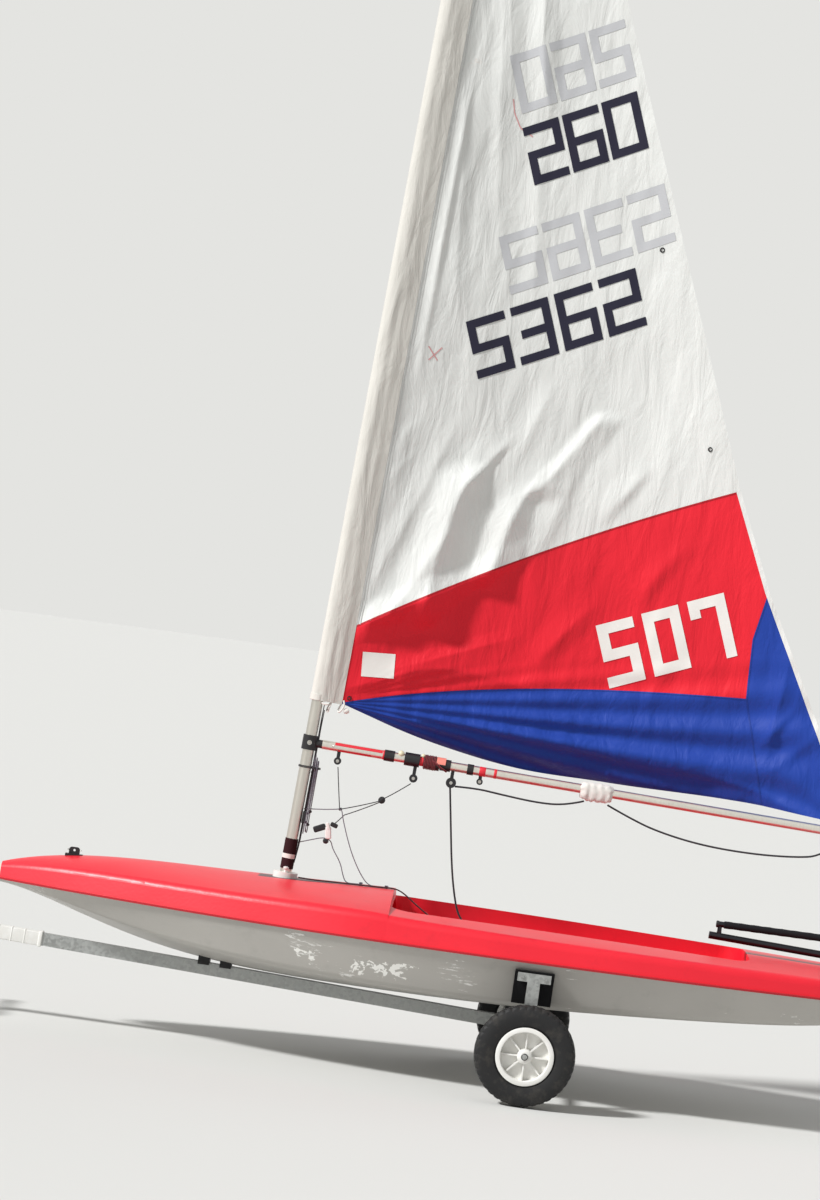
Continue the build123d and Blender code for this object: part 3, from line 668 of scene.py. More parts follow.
# Folds that stand out of the cloth: points of the crest with the width of its steep side, behind or below it,
# then the width of its gentle side and its height
FOLDS = (
    (((0.509, 1.814, 0.02), (0.428, 1.696, 0.10), (0.403, 1.610, 0.125), (0.387, 1.482, 0.135), (0.365, 1.334, 0.145),
      (0.364, 1.217, 0.14)), 0.16, 0.055),
    (((0.386, 1.464, 0.015), (0.340, 1.374, 0.035), (0.297, 1.267, 0.055), (0.229, 1.147, 0.07)), 0.10, 0.026),
    (((0.720, 1.786, 0.02), (0.687, 1.726, 0.04), (0.640, 1.592, 0.085), (0.618, 1.471, 0.10), (0.597, 1.386, 0.09)),
     0.10, 0.040),
    (((0.905, 2.044, 0.10), (0.783, 1.833, 0.12), (0.735, 1.760, 0.14)), 0.05, 0.024),
    (((0.157, 1.870, 0.04), (0.100, 1.720, 0.05), (0.048, 1.589, 0.05)), 0.04, 0.008),
    (((0.163, 1.745, 0.04), (0.095, 1.620, 0.05), (0.035, 1.515, 0.05)), 0.04, 0.008),
    (((0.250, 3.679, 0.05), (0.287, 3.511, 0.06), (0.318, 3.343, 0.05)), 0.05, 0.012),
    (((0.390, 3.704, 0.06), (0.426, 3.479, 0.08), (0.474, 3.314, 0.06)), 0.07, 0.022),
    (((0.493, 3.027, 0.05), (0.523, 2.801, 0.06), (0.554, 2.574, 0.05)), 0.06, 0.012),
    (((0.148, 3.196, 0.04), (0.200, 2.857, 0.05), (0.240, 2.516, 0.05)), 0.05, 0.012),
    (((0.243, 3.561, 0.04), (0.294, 3.223, 0.06), (0.346, 2.884, 0.05)), 0.05, 0.013),
    (((0.136, 1.075, 0.08), (0.297, 1.180, 0.135), (0.390, 1.237, 0.135), (0.482, 1.298, 0.085),
      (0.667, 1.420, 0.03)), 0.10, 0.034),
    (((0.055, 0.782, 0.02), (0.279, 0.878, 0.055), (0.412, 0.939, 0.075), (0.597, 0.955, 0.06), (0.764, 0.940, 0.02)),
     0.12, 0.022),
)


def smooth_at(points, at):
    """Value at a place of the smooth curve through pairs of place and value."""
    slopes = [(b[1] - a[1]) / (b[0] - a[0]) for a, b in zip(points, points[1:])]
    for step, ((low, start), (high, end)) in enumerate(zip(points, points[1:])):
        if at <= high or step == len(slopes) - 1:
            wide = high - low
            share = min(max((at - low) / wide, 0), 1)
            first = wide * (slopes[step] + slopes[max(step - 1, 0)]) / 2
            last = wide * (slopes[step] + slopes[min(step + 1, len(slopes) - 1)]) / 2
            return ((1 + 2 * share) * (1 - share) ** 2 * start + share * (1 - share) ** 2 * first
                    + share ** 2 * (3 - 2 * share) * end - share ** 2 * (1 - share) * last)


def foot_edge(share):
    """Route by share along the sail's foot, from the tack to the foot of the clew column."""
    out = TACK[0] + (COLUMN_FOOT[0] - TACK[0]) * share
    return out, smooth_at(FOOT, out)


def fold_at(crest, gentle, height, out, up):
    """How far one fold stands out of the cloth at a point."""
    steep_run = abs(crest[-1][1] - crest[0][1]) > abs(crest[-1][0] - crest[0][0])
    place, across = (up, out) if steep_run else (out, up)
    points = [(z, x, wide) if steep_run else (x, z, wide) for x, z, wide in crest]
    points.sort()
    first, last = points[0][0], points[-1][0]
    beyond = max(first - place, place - last, 0) / (0.25 * (last - first))
    if beyond >= 1:
        return 0.0
    middle = smooth_at([(point[0], point[1]) for point in points], place)
    wide = smooth_at([(point[0], point[2]) for point in points], place)
    near, beside = (points[-1], points[-2]) if place > last else (points[0], points[1])
    if place > last or place < first:
        middle += (place - near[0]) * (near[1] - beside[1]) / (near[0] - beside[0])
    off = across - middle if steep_run else middle - across
    side = off / wide if off > 0 else -off / gentle
    if side >= 1:
        return 0.0
    rise = (1 - side) ** (1.05 if off > 0 else 1.35)
    return height * min(1, wide / 0.08) * rise * (1 - beyond ** 2) ** 2


def chord_at(up):
    """Distance from the mast at which the cloth's curve runs out, at a height."""
    for (low, wide), (high, narrow) in zip(CHORDS, CHORDS[1:]):
        if up <= high or high == CHORDS[-1][0]:
            return wide + (narrow - wide) * min(max((up - low) / (high - low), 0), 1)


def crease_at(start, end, before, behind, height, out, up):
    """How far one crease stands out of the cloth at a point."""
    dx, dz = end[0] - start[0], end[1] - start[1]
    length = math.hypot(dx, dz)
    along = ((out - start[0]) * dx + (up - start[1]) * dz) / length ** 2
    off = ((out - start[0]) * dz - (up - start[1]) * dx) / length
    reach = behind if off > 0 else before
    if not -CREASE_TAIL < along < 1 + CREASE_TAIL or abs(off) >= reach:
        return 0.0
    ends = math.sin(math.pi * (along + CREASE_TAIL) / (1 + 2 * CREASE_TAIL))
    return 1.5 * height * ends * (1 - abs(off) / reach) ** 1.4


def fans_at(out, up):
    """How far the folds that fan out from the tack and from the clew stand out of the cloth at a point."""
    (tack_out, tack_up), (clew_out, clew_up) = FAN_HEARTS
    reach = math.hypot(out - tack_out, up - tack_up)
    slope = math.atan2(up - tack_up, out - tack_out)
    low = min(1, max(0, 1 - (up - 0.60 - 0.21 * max(out - 0.1, 0)) / 0.30))
    fan = math.sin(slope / math.radians(2.6) * math.pi + 1.2 * math.sin(1.7 * reach))
    fold = low * 0.012 * fan * min(1, reach / 0.9) * max(0, min(1, (2.15 - reach) / 0.35))
    tail = math.hypot(out - clew_out, up - clew_up)
    if out > 1.6 and tail > 0.04:
        turn = math.atan2(up - clew_up, clew_out - out)
        ripple = 0.006 * math.sin(turn * 17) * math.exp(-((tail - 0.35) / 0.3) ** 2)
        fold += ripple * min(1, (out - 1.6) / 0.1)
    return fold


def cloth_side(out, up):
    """How far the cloth stands to starboard of the mast's plane."""
    width = chord_at(up) - LUFF
    share = min(max((out - LUFF) / width, 0), 1)
    belly = CAMBER * width * share * (1 - share) / (0.45 * 0.55)
    fold = sum(crease_at(*entry, out, up) for entry in CREASES)
    fold += sum(fold_at(*entry, out, up) for entry in FOLDS)
    fold += fans_at(out, up)
    spot = Vector((out * 2.4 + 0.35 * up, 3.1, up * 1.3))
    slow = noise.noise(spot) * 0.020 + noise.noise(spot * 2.7) * 0.008
    quick = noise.noise(Vector((out * 17, 7.7, up * 4 - out * 5))) * 0.0030
    # The sleeve holds the cloth flat at the luff, and the folds run out at the head
    held = min(1, max(0, out - LUFF) / 0.05) * min(1, 0.25 + max(0, min(CLEW[1] + 4.6 - up, 1)))
    # The strip along the foot turns under
    depth = smooth_at(CURL, out) if up < 0.9 else 0
    under = 0.85 * max(0, depth - (up - smooth_at(FOOT, out))) if depth > 0 else 0
    return belly + under - (fold + slow * 0.7 + quick) * held * bpy.context.scene.dinghy_sail.creases


def cloth_point(out, up, proud=0.0):
    """Point on the sail, or proud of it to starboard."""
    return rig(out, cloth_side(out, up) + proud, up)


def cloth_patch(shape, bottom, top, left, right, columns, rows, proud=0.0):
    """Patch of cloth between four edges, added to a mesh in the making."""
    corner = {(s, t): (bottom if t == 0 else top)(s) for s in (0, 1) for t in (0, 1)}
    grid = []
    for row in range(rows + 1):
        t = row / rows
        ring = []
        for column in range(columns + 1):
            s = column / columns
            spot = []
            for axis in (0, 1):
                ruled = (1 - t) * bottom(s)[axis] + t * top(s)[axis] + (1 - s) * left(t)[axis] + s * right(t)[axis]
                ruled -= sum(((1 - s) if a == 0 else s) * ((1 - t) if b == 0 else t) * corner[a, b][axis]
                             for a in (0, 1) for b in (0, 1))
                spot.append(ruled)
            ring.append(shape.verts.new(cloth_point(*spot, proud)))
        grid.append(ring)
    span_rings(shape, grid)


def cloth_band(shape, route, width, proud, steps):
    """Tape of a width laid on the cloth along a route, added to a mesh in the making."""
    rows, count = [], max(2, round(width / 0.008))
    for step in range(steps + 1):
        here = route(step / steps)
        ahead, back = route(min(1, (step + 0.5) / steps)), route(max(0, (step - 0.5) / steps))
        dx, dz = ahead[0] - back[0], ahead[1] - back[1]
        length = math.hypot(dx, dz) or 1
        row = []
        for edge in range(count + 1):
            aside = (edge / count - 0.5) * width
            out, up = here[0] - aside * dz / length, here[1] + aside * dx / length
            row.append(shape.verts.new(cloth_point(out, up, proud)))
        rows.append(row)
    span_rings(shape, rows)


# Strokes of each plain digit, in a cell one wide and one high
DIGITS = {
    "0": [((0, 0), (0, 1)), ((0, 1), (1, 1)), ((1, 1), (1, 0)), ((1, 0), (0, 0))],
    "2": [((0, 1), (1, 1)), ((1, 1), (1, 0.5)), ((1, 0.5), (0, 0.5)), ((0, 0.5), (0, 0)), ((0, 0), (1, 0))],
    "3": [((0, 1), (1, 1)), ((1, 1), (1, 0)), ((1, 0), (0, 0)), ((1, 0.5), (0.2, 0.5))],
    "5": [((1, 1), (0, 1)), ((0, 1), (0, 0.5)), ((0, 0.5), (1, 0.5)), ((1, 0.5), (1, 0)), ((1, 0), (0, 0))],
    "6": [((1, 1), (0, 1)), ((0, 1), (0, 0)), ((0, 0), (1, 0)), ((1, 0), (1, 0.5)), ((1, 0.5), (0, 0.5))],
    "7": [((0, 0.85), (0, 1)), ((0, 1), (1, 1)), ((1, 1), (1, 0))],
}


def digits(shape, text, origin, along, upward, width, height, pitch, stroke, proud, reverse=False):
    """Row of plain digits cut from film and laid on the cloth."""
    along, upward = Vector(along).normalized(), Vector(upward).normalized()
    cell = stroke / 4
    for place, sign in enumerate(text):
        slot = len(text) - 1 - place if reverse else place
        filled = set()
        for (x0, y0), (x1, y1) in DIGITS[sign]:
            if reverse:
                x0, x1 = 1 - x0, 1 - x1
            low_x, high_x = sorted((x0 * width, x1 * width))
            low_y, high_y = sorted((y0 * height, y1 * height))
            for column in range(round((low_x - stroke / 2) / cell), round((high_x + stroke / 2) / cell)):
                for row in range(round((low_y - stroke / 2) / cell), round((high_y + stroke / 2) / cell)):
                    filled.add((column, row))
        spots = {}

        def corner(column, row):
            if (column, row) not in spots:
                flat = Vector(origin) + along * (slot * pitch + column * cell) + upward * (row * cell)
                spots[column, row] = shape.verts.new(cloth_point(flat.x, flat.y, proud))
            return spots[column, row]

        for column, row in sorted(filled):
            shape.faces.new((corner(column, row), corner(column + 1, row), corner(column + 1, row + 1),
                             corner(column, row + 1)))


# Operators, one for each piece or group of like pieces

class DINGHY_OT_camera(bpy.types.Operator):
    """Sets the camera where the picture was taken from"""
    bl_idname = "dinghy.camera"
    bl_label = "Camera"

    def execute(self, context):
        yaw, pitch, roll = (math.radians(angle) for angle in VIEW_ANGLES)
        forward = Vector((math.sin(yaw) * math.cos(pitch), math.cos(yaw) * math.cos(pitch), math.sin(pitch)))
        level = Vector((math.cos(yaw), -math.sin(yaw), 0))
        upward = level.cross(forward)
        right = level * math.cos(roll) + upward * math.sin(roll)
        top = upward * math.cos(roll) - level * math.sin(roll)
        data = bpy.data.cameras.new("camera")
        data.sensor_width, data.lens = SENSOR, FOCAL_PIXELS / PHOTO_HEIGHT * SENSOR
        data.clip_start, data.clip_end = 0.5, 200
        camera = bpy.data.objects.new("camera", data)
        context.scene.collection.objects.link(camera)
        turn = Matrix((right, top, -forward)).transposed().to_4x4()
        camera.matrix_world = Matrix.Translation(VIEW_PLACE) @ turn
        context.scene.camera = camera
        return {"FINISHED"}


class DINGHY_OT_cords(bpy.types.Operator):
    """Hangs the mainsheet's slack and the hank on the mast, and lays the lines on the foredeck"""
    bl_idname = "dinghy.cords"
    bl_label = "Slack lines"

    def execute(self, context):
        sizes = context.scene.dinghy_rigging
        thick, thin = sizes.sheet, sizes.line
        fore = [boom(0.612, 0, -0.078),
                *on_rig((0.700, 0, 0.500), (0.800, 0.002, 0.494), (0.960, 0.003, 0.488), (1.070, 0, 0.500)),
                boom(1.140, 0, -0.048)]
        aft = [boom(1.236, 0, -0.048),
               *on_rig((1.330, 0, 0.498), (1.450, 0.002, 0.464), (1.636, 0.004, 0.441), (1.842, 0.004, 0.443),
                       (2.020, 0.002, 0.462), (2.130, 0, 0.488)),
               boom(2.20, 0, -0.030)]
        hank = on_rig((0.027, -0.002, 0.440), (0.033, -0.008, 0.455))
        for turn in range(3):
            out, wide = 0.034 + 0.0075 * turn, 0.015 + 0.002 * turn
            top, low = 0.515 - 0.012 * turn, 0.190 + 0.010 * turn
            hank += on_rig((out, -wide, 0.475), (out, -0.7 * wide, top), (out + 0.001, 0.7 * wide, top),
                           (out + 0.002, wide, 0.475), (out + 0.003, wide, 0.350), (out + 0.004, wide, low + 0.030),
                           (out + 0.005, 0.7 * wide, low), (out + 0.006, -0.7 * wide, low),
                           (out + 0.007, -wide, low + 0.030), (out + 0.0072, -wide, 0.350))
        hank = hank[:-3] + on_rig((0.054, 0.004, 0.196), (0.050, -0.010, 0.197), (0.046, -0.0125, 0.228))
        deck = on_boat((1.206, -0.030, 0.1680), (1.260, -0.036, 0.1660), (1.340, -0.026, 0.1680),
                       (1.440, -0.036, 0.1706), (1.530, -0.028, 0.1728), (1.585, -0.030, 0.1762),
                       (1.628, -0.030, 0.1700), (1.700, -0.030, 0.1180), (1.772, -0.026, 0.0720),
                       (1.806, -0.022, 0.0654), (1.850, -0.018, 0.0656))
        cords = (("mainsheet_bight_fore", fore, thick, black_rope(), "rig", "hanging"),
                 ("mainsheet_bight_aft", aft, thick, black_rope(), "rig", "hanging"),
                 ("mast_line_hank", hank, thin, grey_rope(), "rig", "coiled"))
        for name, route, wide, material, body, lay in cords:
            piece = line(name, route, wide, material, body)
            run_length(route)

        wide = 0.006
        piece = line("foredeck_line", deck, wide, maroon_rope(), "boat")
        knot = stopper_knot("foredeck_line_knot", deck[-1] + Vector((0.006, 0, 0.004)), wide, maroon_rope())
        run_length(deck)

        tails = {
            "kicker_tail_upper":
                on_rig((0.026, -0.004, 0.290), (0.095, -0.004, 0.300), (0.148, -0.005, 0.310), (0.178, -0.006, 0.318),
                       (0.187, -0.006, 0.285), (0.228, -0.008, 0.190), (0.266, -0.008, 0.120), (0.311, -0.008, 0.058))
                + on_boat((1.494, -0.008, 0.1725), (1.530, -0.004, 0.1715), (1.562, 0.006, 0.1722)),
            "kicker_tail_lower":
                on_rig((0.026, 0.004, 0.150), (0.080, 0.004, 0.172), (0.128, 0.005, 0.190), (0.158, 0.006, 0.182),
                       (0.170, 0.007, 0.150), (0.212, 0.010, 0.100))
                + on_boat((1.382, 0.012, 0.200), (1.398, 0.014, 0.1690), (1.430, 0.022, 0.1690),
                          (1.456, 0.030, 0.1698)),
        }
        for name, route in tails.items():
            path = smooth_route(route)
            tail = bmesh.new()
            sweep(tail, path, thin / 2, 8)
            piece = set_out(name, tail, grey_rope())
            knot = stopper_knot(name + "_knot", route[-1] + Vector((0.004, 0, 0.003)), thin, grey_rope())
            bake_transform(piece)
            run_length(route)
        return {"FINISHED"}


class DINGHY_OT_mouldings(bpy.types.Operator):
    """Finishes the hull and deck mouldings and adds their screws and bungs"""
    bl_idname = "dinghy.mouldings"
    bl_label = "Hull and deck"

    def execute(self, context):
        sizes = context.scene.dinghy_mouldings
        # The red deck's finish carries the painted shade of the pimpled strip and the painted shadow along the hull
        # joint
        dress(finish("polyethylene_rotomoulded_red", rotomoulded_polyethylene, sizes.deck, band=True),
              "deck_moulding", "foredeck_arch")
        dress(finish("polyethylene_rotomoulded_liner", rotomoulded_polyethylene, sizes.deck), "cockpit_liner")
        dress(finish("polyethylene_rotomoulded_grey", rotomoulded_polyethylene, sizes.hull, scuffs=sizes.scuff),
              "hull_moulding")
        dress(white_nylon(), "daggerboard_case")
        dress(black_nylon(), "bow_fitting", "mainsheet_floor_block")
        dress(finish("polyester_webbing_black", braided_polyester, "#1E1E22", "#34343C"), "toe_strap")

        bung = bmesh.new()
        seat = facing(boat(LENGTH, 0.130, -0.052), (1, 0, 0))
        turned(bung, [(0, -0.020), (0.0105, -0.020), (0.0105, -0.001), (0.020, 0), (0.020, 0.003), (0.014, 0.005),
                      (0.013, 0.012),
                      (0.009, 0.014), (0, 0.014)], seat, 28)
        set_out("drain_bung", bung, black_nylon(), "boat")

        screws = bmesh.new()
        low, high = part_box("bow_fitting")
        for out in (-0.026, 0.026):
            for side in (-0.010, 0.010):
                top = Vector(((low.x + high.x) / 2 + out, side, low.z + 0.0262))
                pan_head(screws, top, (0, 0, 1), 0.004)
        low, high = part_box("mainsheet_floor_block")
        for side in (low.y, high.y):
            hex_bolt(screws, Vector(((low.x + high.x) / 2, side, low.z + 0.033)), (0, side, 0), 0.009)
        for station in (2.046, 3.014):
            for side in (-0.018, 0.018):
                pan_head(screws, boat(station, side, -0.062), (0, 0, 1), 0.0045)
        set_out("deck_screws", screws, stainless(), "boat")
        return {"FINISHED"}


class DINGHY_OT_spars(bpy.types.Operator):
    """Finishes the mast and boom and adds their rings, pins and tape"""
    bl_idname = "dinghy.spars"
    bl_label = "Mast and boom"

    def execute(self, context):
        dress(finish("aluminium_anodised_satin", anodised_aluminium, "#D3CFC6"), "mast_lower", "mast_upper")
        dress(finish("aluminium_anodised_bright", anodised_aluminium, "#E6E2D8"), "boom")
        dress(white_nylon(), "mast_gate")
        dress(black_nylon(), "masthead_cap", "gooseneck", "boom_bands", "boom_blocks", "boom_end_plug")
        dress(finish("rubber_tape_maroon", closed_cell_foam, "#2B1216"), "mast_heel_wrap")

        pins = bmesh.new()
        for along, drop in ((0.124, 0.056), (0.440, 0.074), (0.594, 0.066), (0.708, 0.042)):
            for side in (-1, 1):
                hex_bolt(pins, boom(along, side * 0.009, -drop), (0, side, 0), 0.007)
        for side in (-1, 1):
            hex_bolt(pins, rig(0.0, side * 0.031, BOOM_UP), (0, side, 0), 0.010)
            pan_head(pins, boom(0.098, side * BOOM_RADIUS, 0), (0, side, 0), 0.004)
            pan_head(pins, boom(2.235, side * BOOM_RADIUS, 0), (0, side, 0), 0.004)
        set_out("spar_pins", pins, stainless(), "rig")

        knobs = bmesh.new()
        for side in (-1, 1):
            turned(knobs, [(0, 0.012), (0.009, 0.012), (0.0105, 0.014), (0.0115, 0.018), (0.0105, 0.022),
                           (0.006, 0.024), (0, 0.0245)], facing(rig(0, side * 0.038, 0.024), UP_THE_MAST), 20)
        set_out("mast_gate_knobs", knobs, white_nylon(), "boat")

        cleat = bmesh.new()
        up, size = 0.256, 0.050
        eased_box(cleat, (0.020, 0.016, size), facing(rig(0.033, -0.004, up), UP_THE_MAST), 0.004)
        for end in (-1, 1):
            turned(cleat, [(0.004, 0), (0.005, 0.012), (0.0065, 0.020), (0.004, 0.024), (0, 0.0245)],
                   facing(rig(0.040, -0.004, up + end * size * 0.3), rig(0.4, 0, end * 0.35) - rig(0, 0, 0)), 14)
        set_out("mast_cleats", cleat, black_nylon(), "rig")

        tape = bmesh.new()
        for along, wide, lift in ((0.302, 0.012, 0.0006), (0.454, 0.016, 0.0008), (0.700, 0.026, 0.0006),
                                  (0.760, 0.012, 0.0006)):
            ring_band(tape, boom(along), ALONG_THE_BOOM, BOOM_RADIUS, wide, lift)
        for start, end, low, high in ((0.104, 0.300, 18, 62), (0.118, 0.255, -62, -30)):
            tape_strip(tape, start, end, low, high)
        set_out("boom_tape_red", tape, finish("polyester_tape_red", printed_film, "#D9303C"), "rig")

        salmon = bmesh.new()
        tape_strip(salmon, 0.523, 0.560, 2, 112, 0.0289)
        tape_strip(salmon, 0.558, 0.579, 2, 112)
        set_out("boom_tape_salmon", salmon, finish("polyester_tape_salmon", printed_film, "#E88A7C"), "rig")

        lashing = bmesh.new()
        for turn in range(8):
            turned(lashing, [(0.0278, 0), (0.0295, 0.0008), (0.0310, 0.0028), (0.0295, 0.0048), (0.0278, 0.0056)],
                   facing(boom(0.472 + 0.0062 * turn, 0, 0.0006 * (turn % 2)),
                          boom(1, 0, 0.02 * (turn % 3)) - boom(0)), 40)
        sweep(lashing, smooth_route([boom(0.506, -0.027, 0.010), boom(0.524, -0.032, 0.002),
                                     boom(0.540, -0.031, -0.010), boom(0.556, -0.026, -0.018),
                                     boom(0.568, -0.018, -0.024)]), 0.0040, 8)
        braid = finish("polyester_braid_red", braided_polyester, "#5E1019", "#8A2430")
        set_out("boom_lashing_maroon", lashing, braid, "rig")

        beads = bmesh.new()
        for along, radius in ((0.376, 0.0130), (0.466, 0.0085)):
            turned(beads, mirrored((radius, 0.15 * radius), (0.62 * radius, 0.8 * radius), (0, radius)),
                   facing(boom(along, -0.010, 0.0175 + (0.006 if radius < 0.01 else 0)), ALONG_THE_BOOM), 24)
        set_out("boom_beads", beads, finish("moulded_nylon_cream", moulded_nylon, "#D9D3B4"), "rig")

        heel = bmesh.new()
        ring_band(heel, rig(0, 0, 0.080), UP_THE_MAST, 0.0255, 0.020, 0.0013)
        set_out("heel_tape_white", heel, finish("polyester_tape_white", printed_film, "#DEDCD6"), "rig")
        return {"FINISHED"}


class DINGHY_OT_sleeve(bpy.types.Operator):
    """Sews the luff sleeve round the mast"""
    bl_idname = "dinghy.sleeve"
    bl_label = "Luff sleeve"

    def execute(self, context):
        sleeve = bmesh.new()
        rows, around = 300, 44
        grid = []
        for row in range(rows + 1):
            up = SLEEVE_LOW + (SLEEVE_HIGH - SLEEVE_LOW) * row / rows
            ring = []
            narrow = 1 - 0.10 * row / rows
            for step in range(around + 1):
                turn = 2 * step / around - 1
                side = 1 if turn > 0 else -1
                far = 1 - abs(turn)
                if far > SLEEVE_FLAT:
                    angle = math.pi * (far - SLEEVE_FLAT) / (1 - SLEEVE_FLAT) / 2
                    out, off = -SLEEVE_RADIUS * math.sin(angle) * narrow, SLEEVE_RADIUS * math.cos(angle) * narrow
                else:
                    share = far / SLEEVE_FLAT
                    out = LUFF * (1 - share)
                    swell = SLEEVE_RADIUS - SLEEVE_EDGE
                    off = SLEEVE_EDGE + swell * narrow * math.sin(share * math.pi / 2) ** 1.25
                pleat = math.sin(out * 150 + 2.1 * noise.noise(Vector((side, 0.3, up * 1.7)))) * 0.0018
                loose = noise.noise(Vector((out * 20, side * 3, up * 5))) * 0.0035
                share = min(1, off / 0.02) * (0.35 if out < 0 else 1)
                ring.append(sleeve.verts.new(rig(out, side * (off + max(-0.001, (pleat + loose) * share)), up)))
            grid.append(ring)
        span_rings(sleeve, grid)
        area = sum(face.calc_area() for face in sleeve.faces)
        piece = set_out("luff_sleeve_cloth", sleeve, sleeve_cloth(), "rig", crease=60)
        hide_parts("luff_sleeve")

        hem = bmesh.new()
        for low, thick in ((SLEEVE_LOW - 0.001, 0.0018), (SLEEVE_HIGH - 0.030, 0.0015)):
            ring_band(hem, rig(0, 0, low), UP_THE_MAST, SLEEVE_RADIUS + 0.0005, 0.028, thick, 0.002)
        set_out("sleeve_hems", hem, sleeve_cloth(), "rig")
        return {"FINISHED"}


class DINGHY_OT_sail(bpy.types.Operator):
    """Cuts and creases the sail's three panels"""
    bl_idname = "dinghy.sail"
    bl_label = "Sail panels"

    def execute(self, context):
        sizes = context.scene.dinghy_sail
        share = 0.014 / sizes.cell
        red_top = bowed(RED_LUFF, RED_MID, LEECH_LOW)

        white = bmesh.new()
        cloth_patch(white, red_top, polyline(RED_LUFF[:1] + (5.19,), HEAD), polyline(RED_LUFF, (0.098, 5.19)),
                    polyline(LEECH_LOW, LEECH_HIGH, HEAD), round(104 * share), round(290 * share))
        red = bmesh.new()
        cloth_patch(red, bowed(TACK, SEAM_MID, BLUE_CORNER), red_top, polyline(TACK, RED_LUFF),
                    polyline(BLUE_CORNER, BLUE_UP, BLUE_UP_BACK, LEECH_LOW), round(116 * share), round(60 * share))
        blue = bmesh.new()
        cloth_patch(blue, foot_edge, bowed(TACK, SEAM_MID, BLUE_CORNER),
                    polyline(TACK, TACK), polyline(COLUMN_FOOT, BLUE_CORNER), round(190 * share), round(42 * share))
        cloth_patch(blue, polyline(COLUMN_FOOT, CLEW), polyline(BLUE_UP_BACK, BLUE_UP_BACK),
                    polyline(COLUMN_FOOT, BLUE_CORNER, BLUE_UP, BLUE_UP_BACK), polyline(CLEW, BLUE_UP_BACK),
                    round(36 * share), round(84 * share))
        bmesh.ops.remove_doubles(blue, verts=blue.verts[:], dist=1e-4)

        made = (
            ("sail_cloth_upper", white, white_cloth(), "sail_upper_panel", "sailcloth_white", (1.46, 4.16)),
            ("sail_cloth_red", red, finish("sailcloth_woven_red", woven_sailcloth, sizes.red), "sail_red_panel",
             "sailcloth_red", (1.64, 1.16)),
            ("sail_cloth_foot", blue, finish("sailcloth_woven_blue", woven_sailcloth, sizes.blue), "sail_foot_panel",
             "sailcloth_blue", (2.15, 0.90)),
        )
        for name, shape, material, node, slot_name, flat in made:
            area = sum(face.calc_area() for face in shape.faces)
            piece = set_out(name, shape, material, "rig", crease=70)
            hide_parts(node)
        return {"FINISHED"}


class DINGHY_OT_sail_trim(bpy.types.Operator):
    """Sews the tapes, seams, corner patches and eyelets onto the sail"""
    bl_idname = "dinghy.sail_trim"
    bl_label = "Sail tapes and eyelets"

    def execute(self, context):
        tapes = bmesh.new()
        leech_low = polyline((CLEW[0] - 0.009, CLEW[1] + 0.004), (BLUE_UP_BACK[0] - 0.008, BLUE_UP_BACK[1]),
                             (LEECH_LOW[0] - 0.009, LEECH_LOW[1]))
        leech_high = polyline((LEECH_LOW[0] - 0.009, LEECH_LOW[1]), (LEECH_HIGH[0] - 0.009, LEECH_HIGH[1]),
                              (HEAD[0] + 0.006, HEAD[1] - 0.04))
        for proud in (-0.0016, 0.0016):
            cloth_band(tapes, leech_low, 0.018, proud, 110)
            cloth_band(tapes, leech_high, 0.018, proud, 240)
        set_out("sail_edge_tapes", tapes, white_cloth(), "rig", crease=70)

        red_seam, blue_seam, luff_seam = bmesh.new(), bmesh.new(), bmesh.new()
        for proud in (-0.0011, 0.0011):
            cloth_band(red_seam, bowed(RED_LUFF, RED_MID, LEECH_LOW), 0.007, proud, 140)
            cloth_band(blue_seam, bowed(TACK, SEAM_MID, BLUE_CORNER), 0.006, proud, 120)
            cloth_band(blue_seam, lambda share: (foot_edge(share)[0], foot_edge(share)[1] + 0.005), 0.010, proud, 150)
            cloth_band(blue_seam, polyline(BLUE_CORNER, BLUE_UP, BLUE_UP_BACK), 0.007, proud, 40)
            cloth_band(blue_seam, polyline(COLUMN_FOOT, BLUE_CORNER), 0.006, proud, 34)
            for out in (0.103, 0.113):
                cloth_band(luff_seam, polyline((out, 1.07), (out, 5.16)), 0.004, 2.2 * proud, 300)
        sizes = context.scene.dinghy_sail
        for name, shape, code, tone in (("red", red_seam, sizes.red, 0.55), ("blue", blue_seam, sizes.blue, 0.8),
                                        ("luff", luff_seam, sizes.white, 0.80)):
            stitched = finish("sewn_polyester_" + name, woven_sailcloth, shade(code, tone)[:3])
            set_out("sail_seam_" + name, shape, stitched, "rig", crease=70)

        eyes = bmesh.new()
        for out, up, radius in ((1.045, 2.795, 0.011), (1.385, 2.031, 0.010), (2.196, 0.656, 0.014),
                                (0.125, 0.765, 0.010)):
            for side in (-1, 1):
                ring = facing(cloth_point(out, up, side * 0.0012), (0, side, 0))
                eyelet = [(radius * 0.5, 0), (radius * 0.62, 0.0022), (radius * 0.85, 0.0024), (radius, 0)]
                turned(eyes, eyelet, ring, 24)
        set_out("sail_eyelets", eyes, black_nylon(), "rig")

        wool = bmesh.new()
        for route in (polyline((0.335, 3.290), (0.350, 3.235), (0.385, 3.180), (0.44, 3.155)),
                      polyline((0.180, 2.235), (0.225, 2.185)), polyline((0.235, 2.240), (0.190, 2.180))):
            cloth_band(wool, route, 0.005, -0.0013, 16)
        set_out("sail_telltales", wool, finish("wool_yarn_red", braided_polyester, "#D9A3A3", "#C98888"), "rig")

        patch = bmesh.new()
        cloth_band(patch, polyline((0.150, 0.912), (0.282, 0.926)), 0.100, -0.0018, 14)
        set_out("tack_patch", patch, finish("polyester_film_white", printed_film, "#E7E5E0"), "rig")
        return {"FINISHED"}


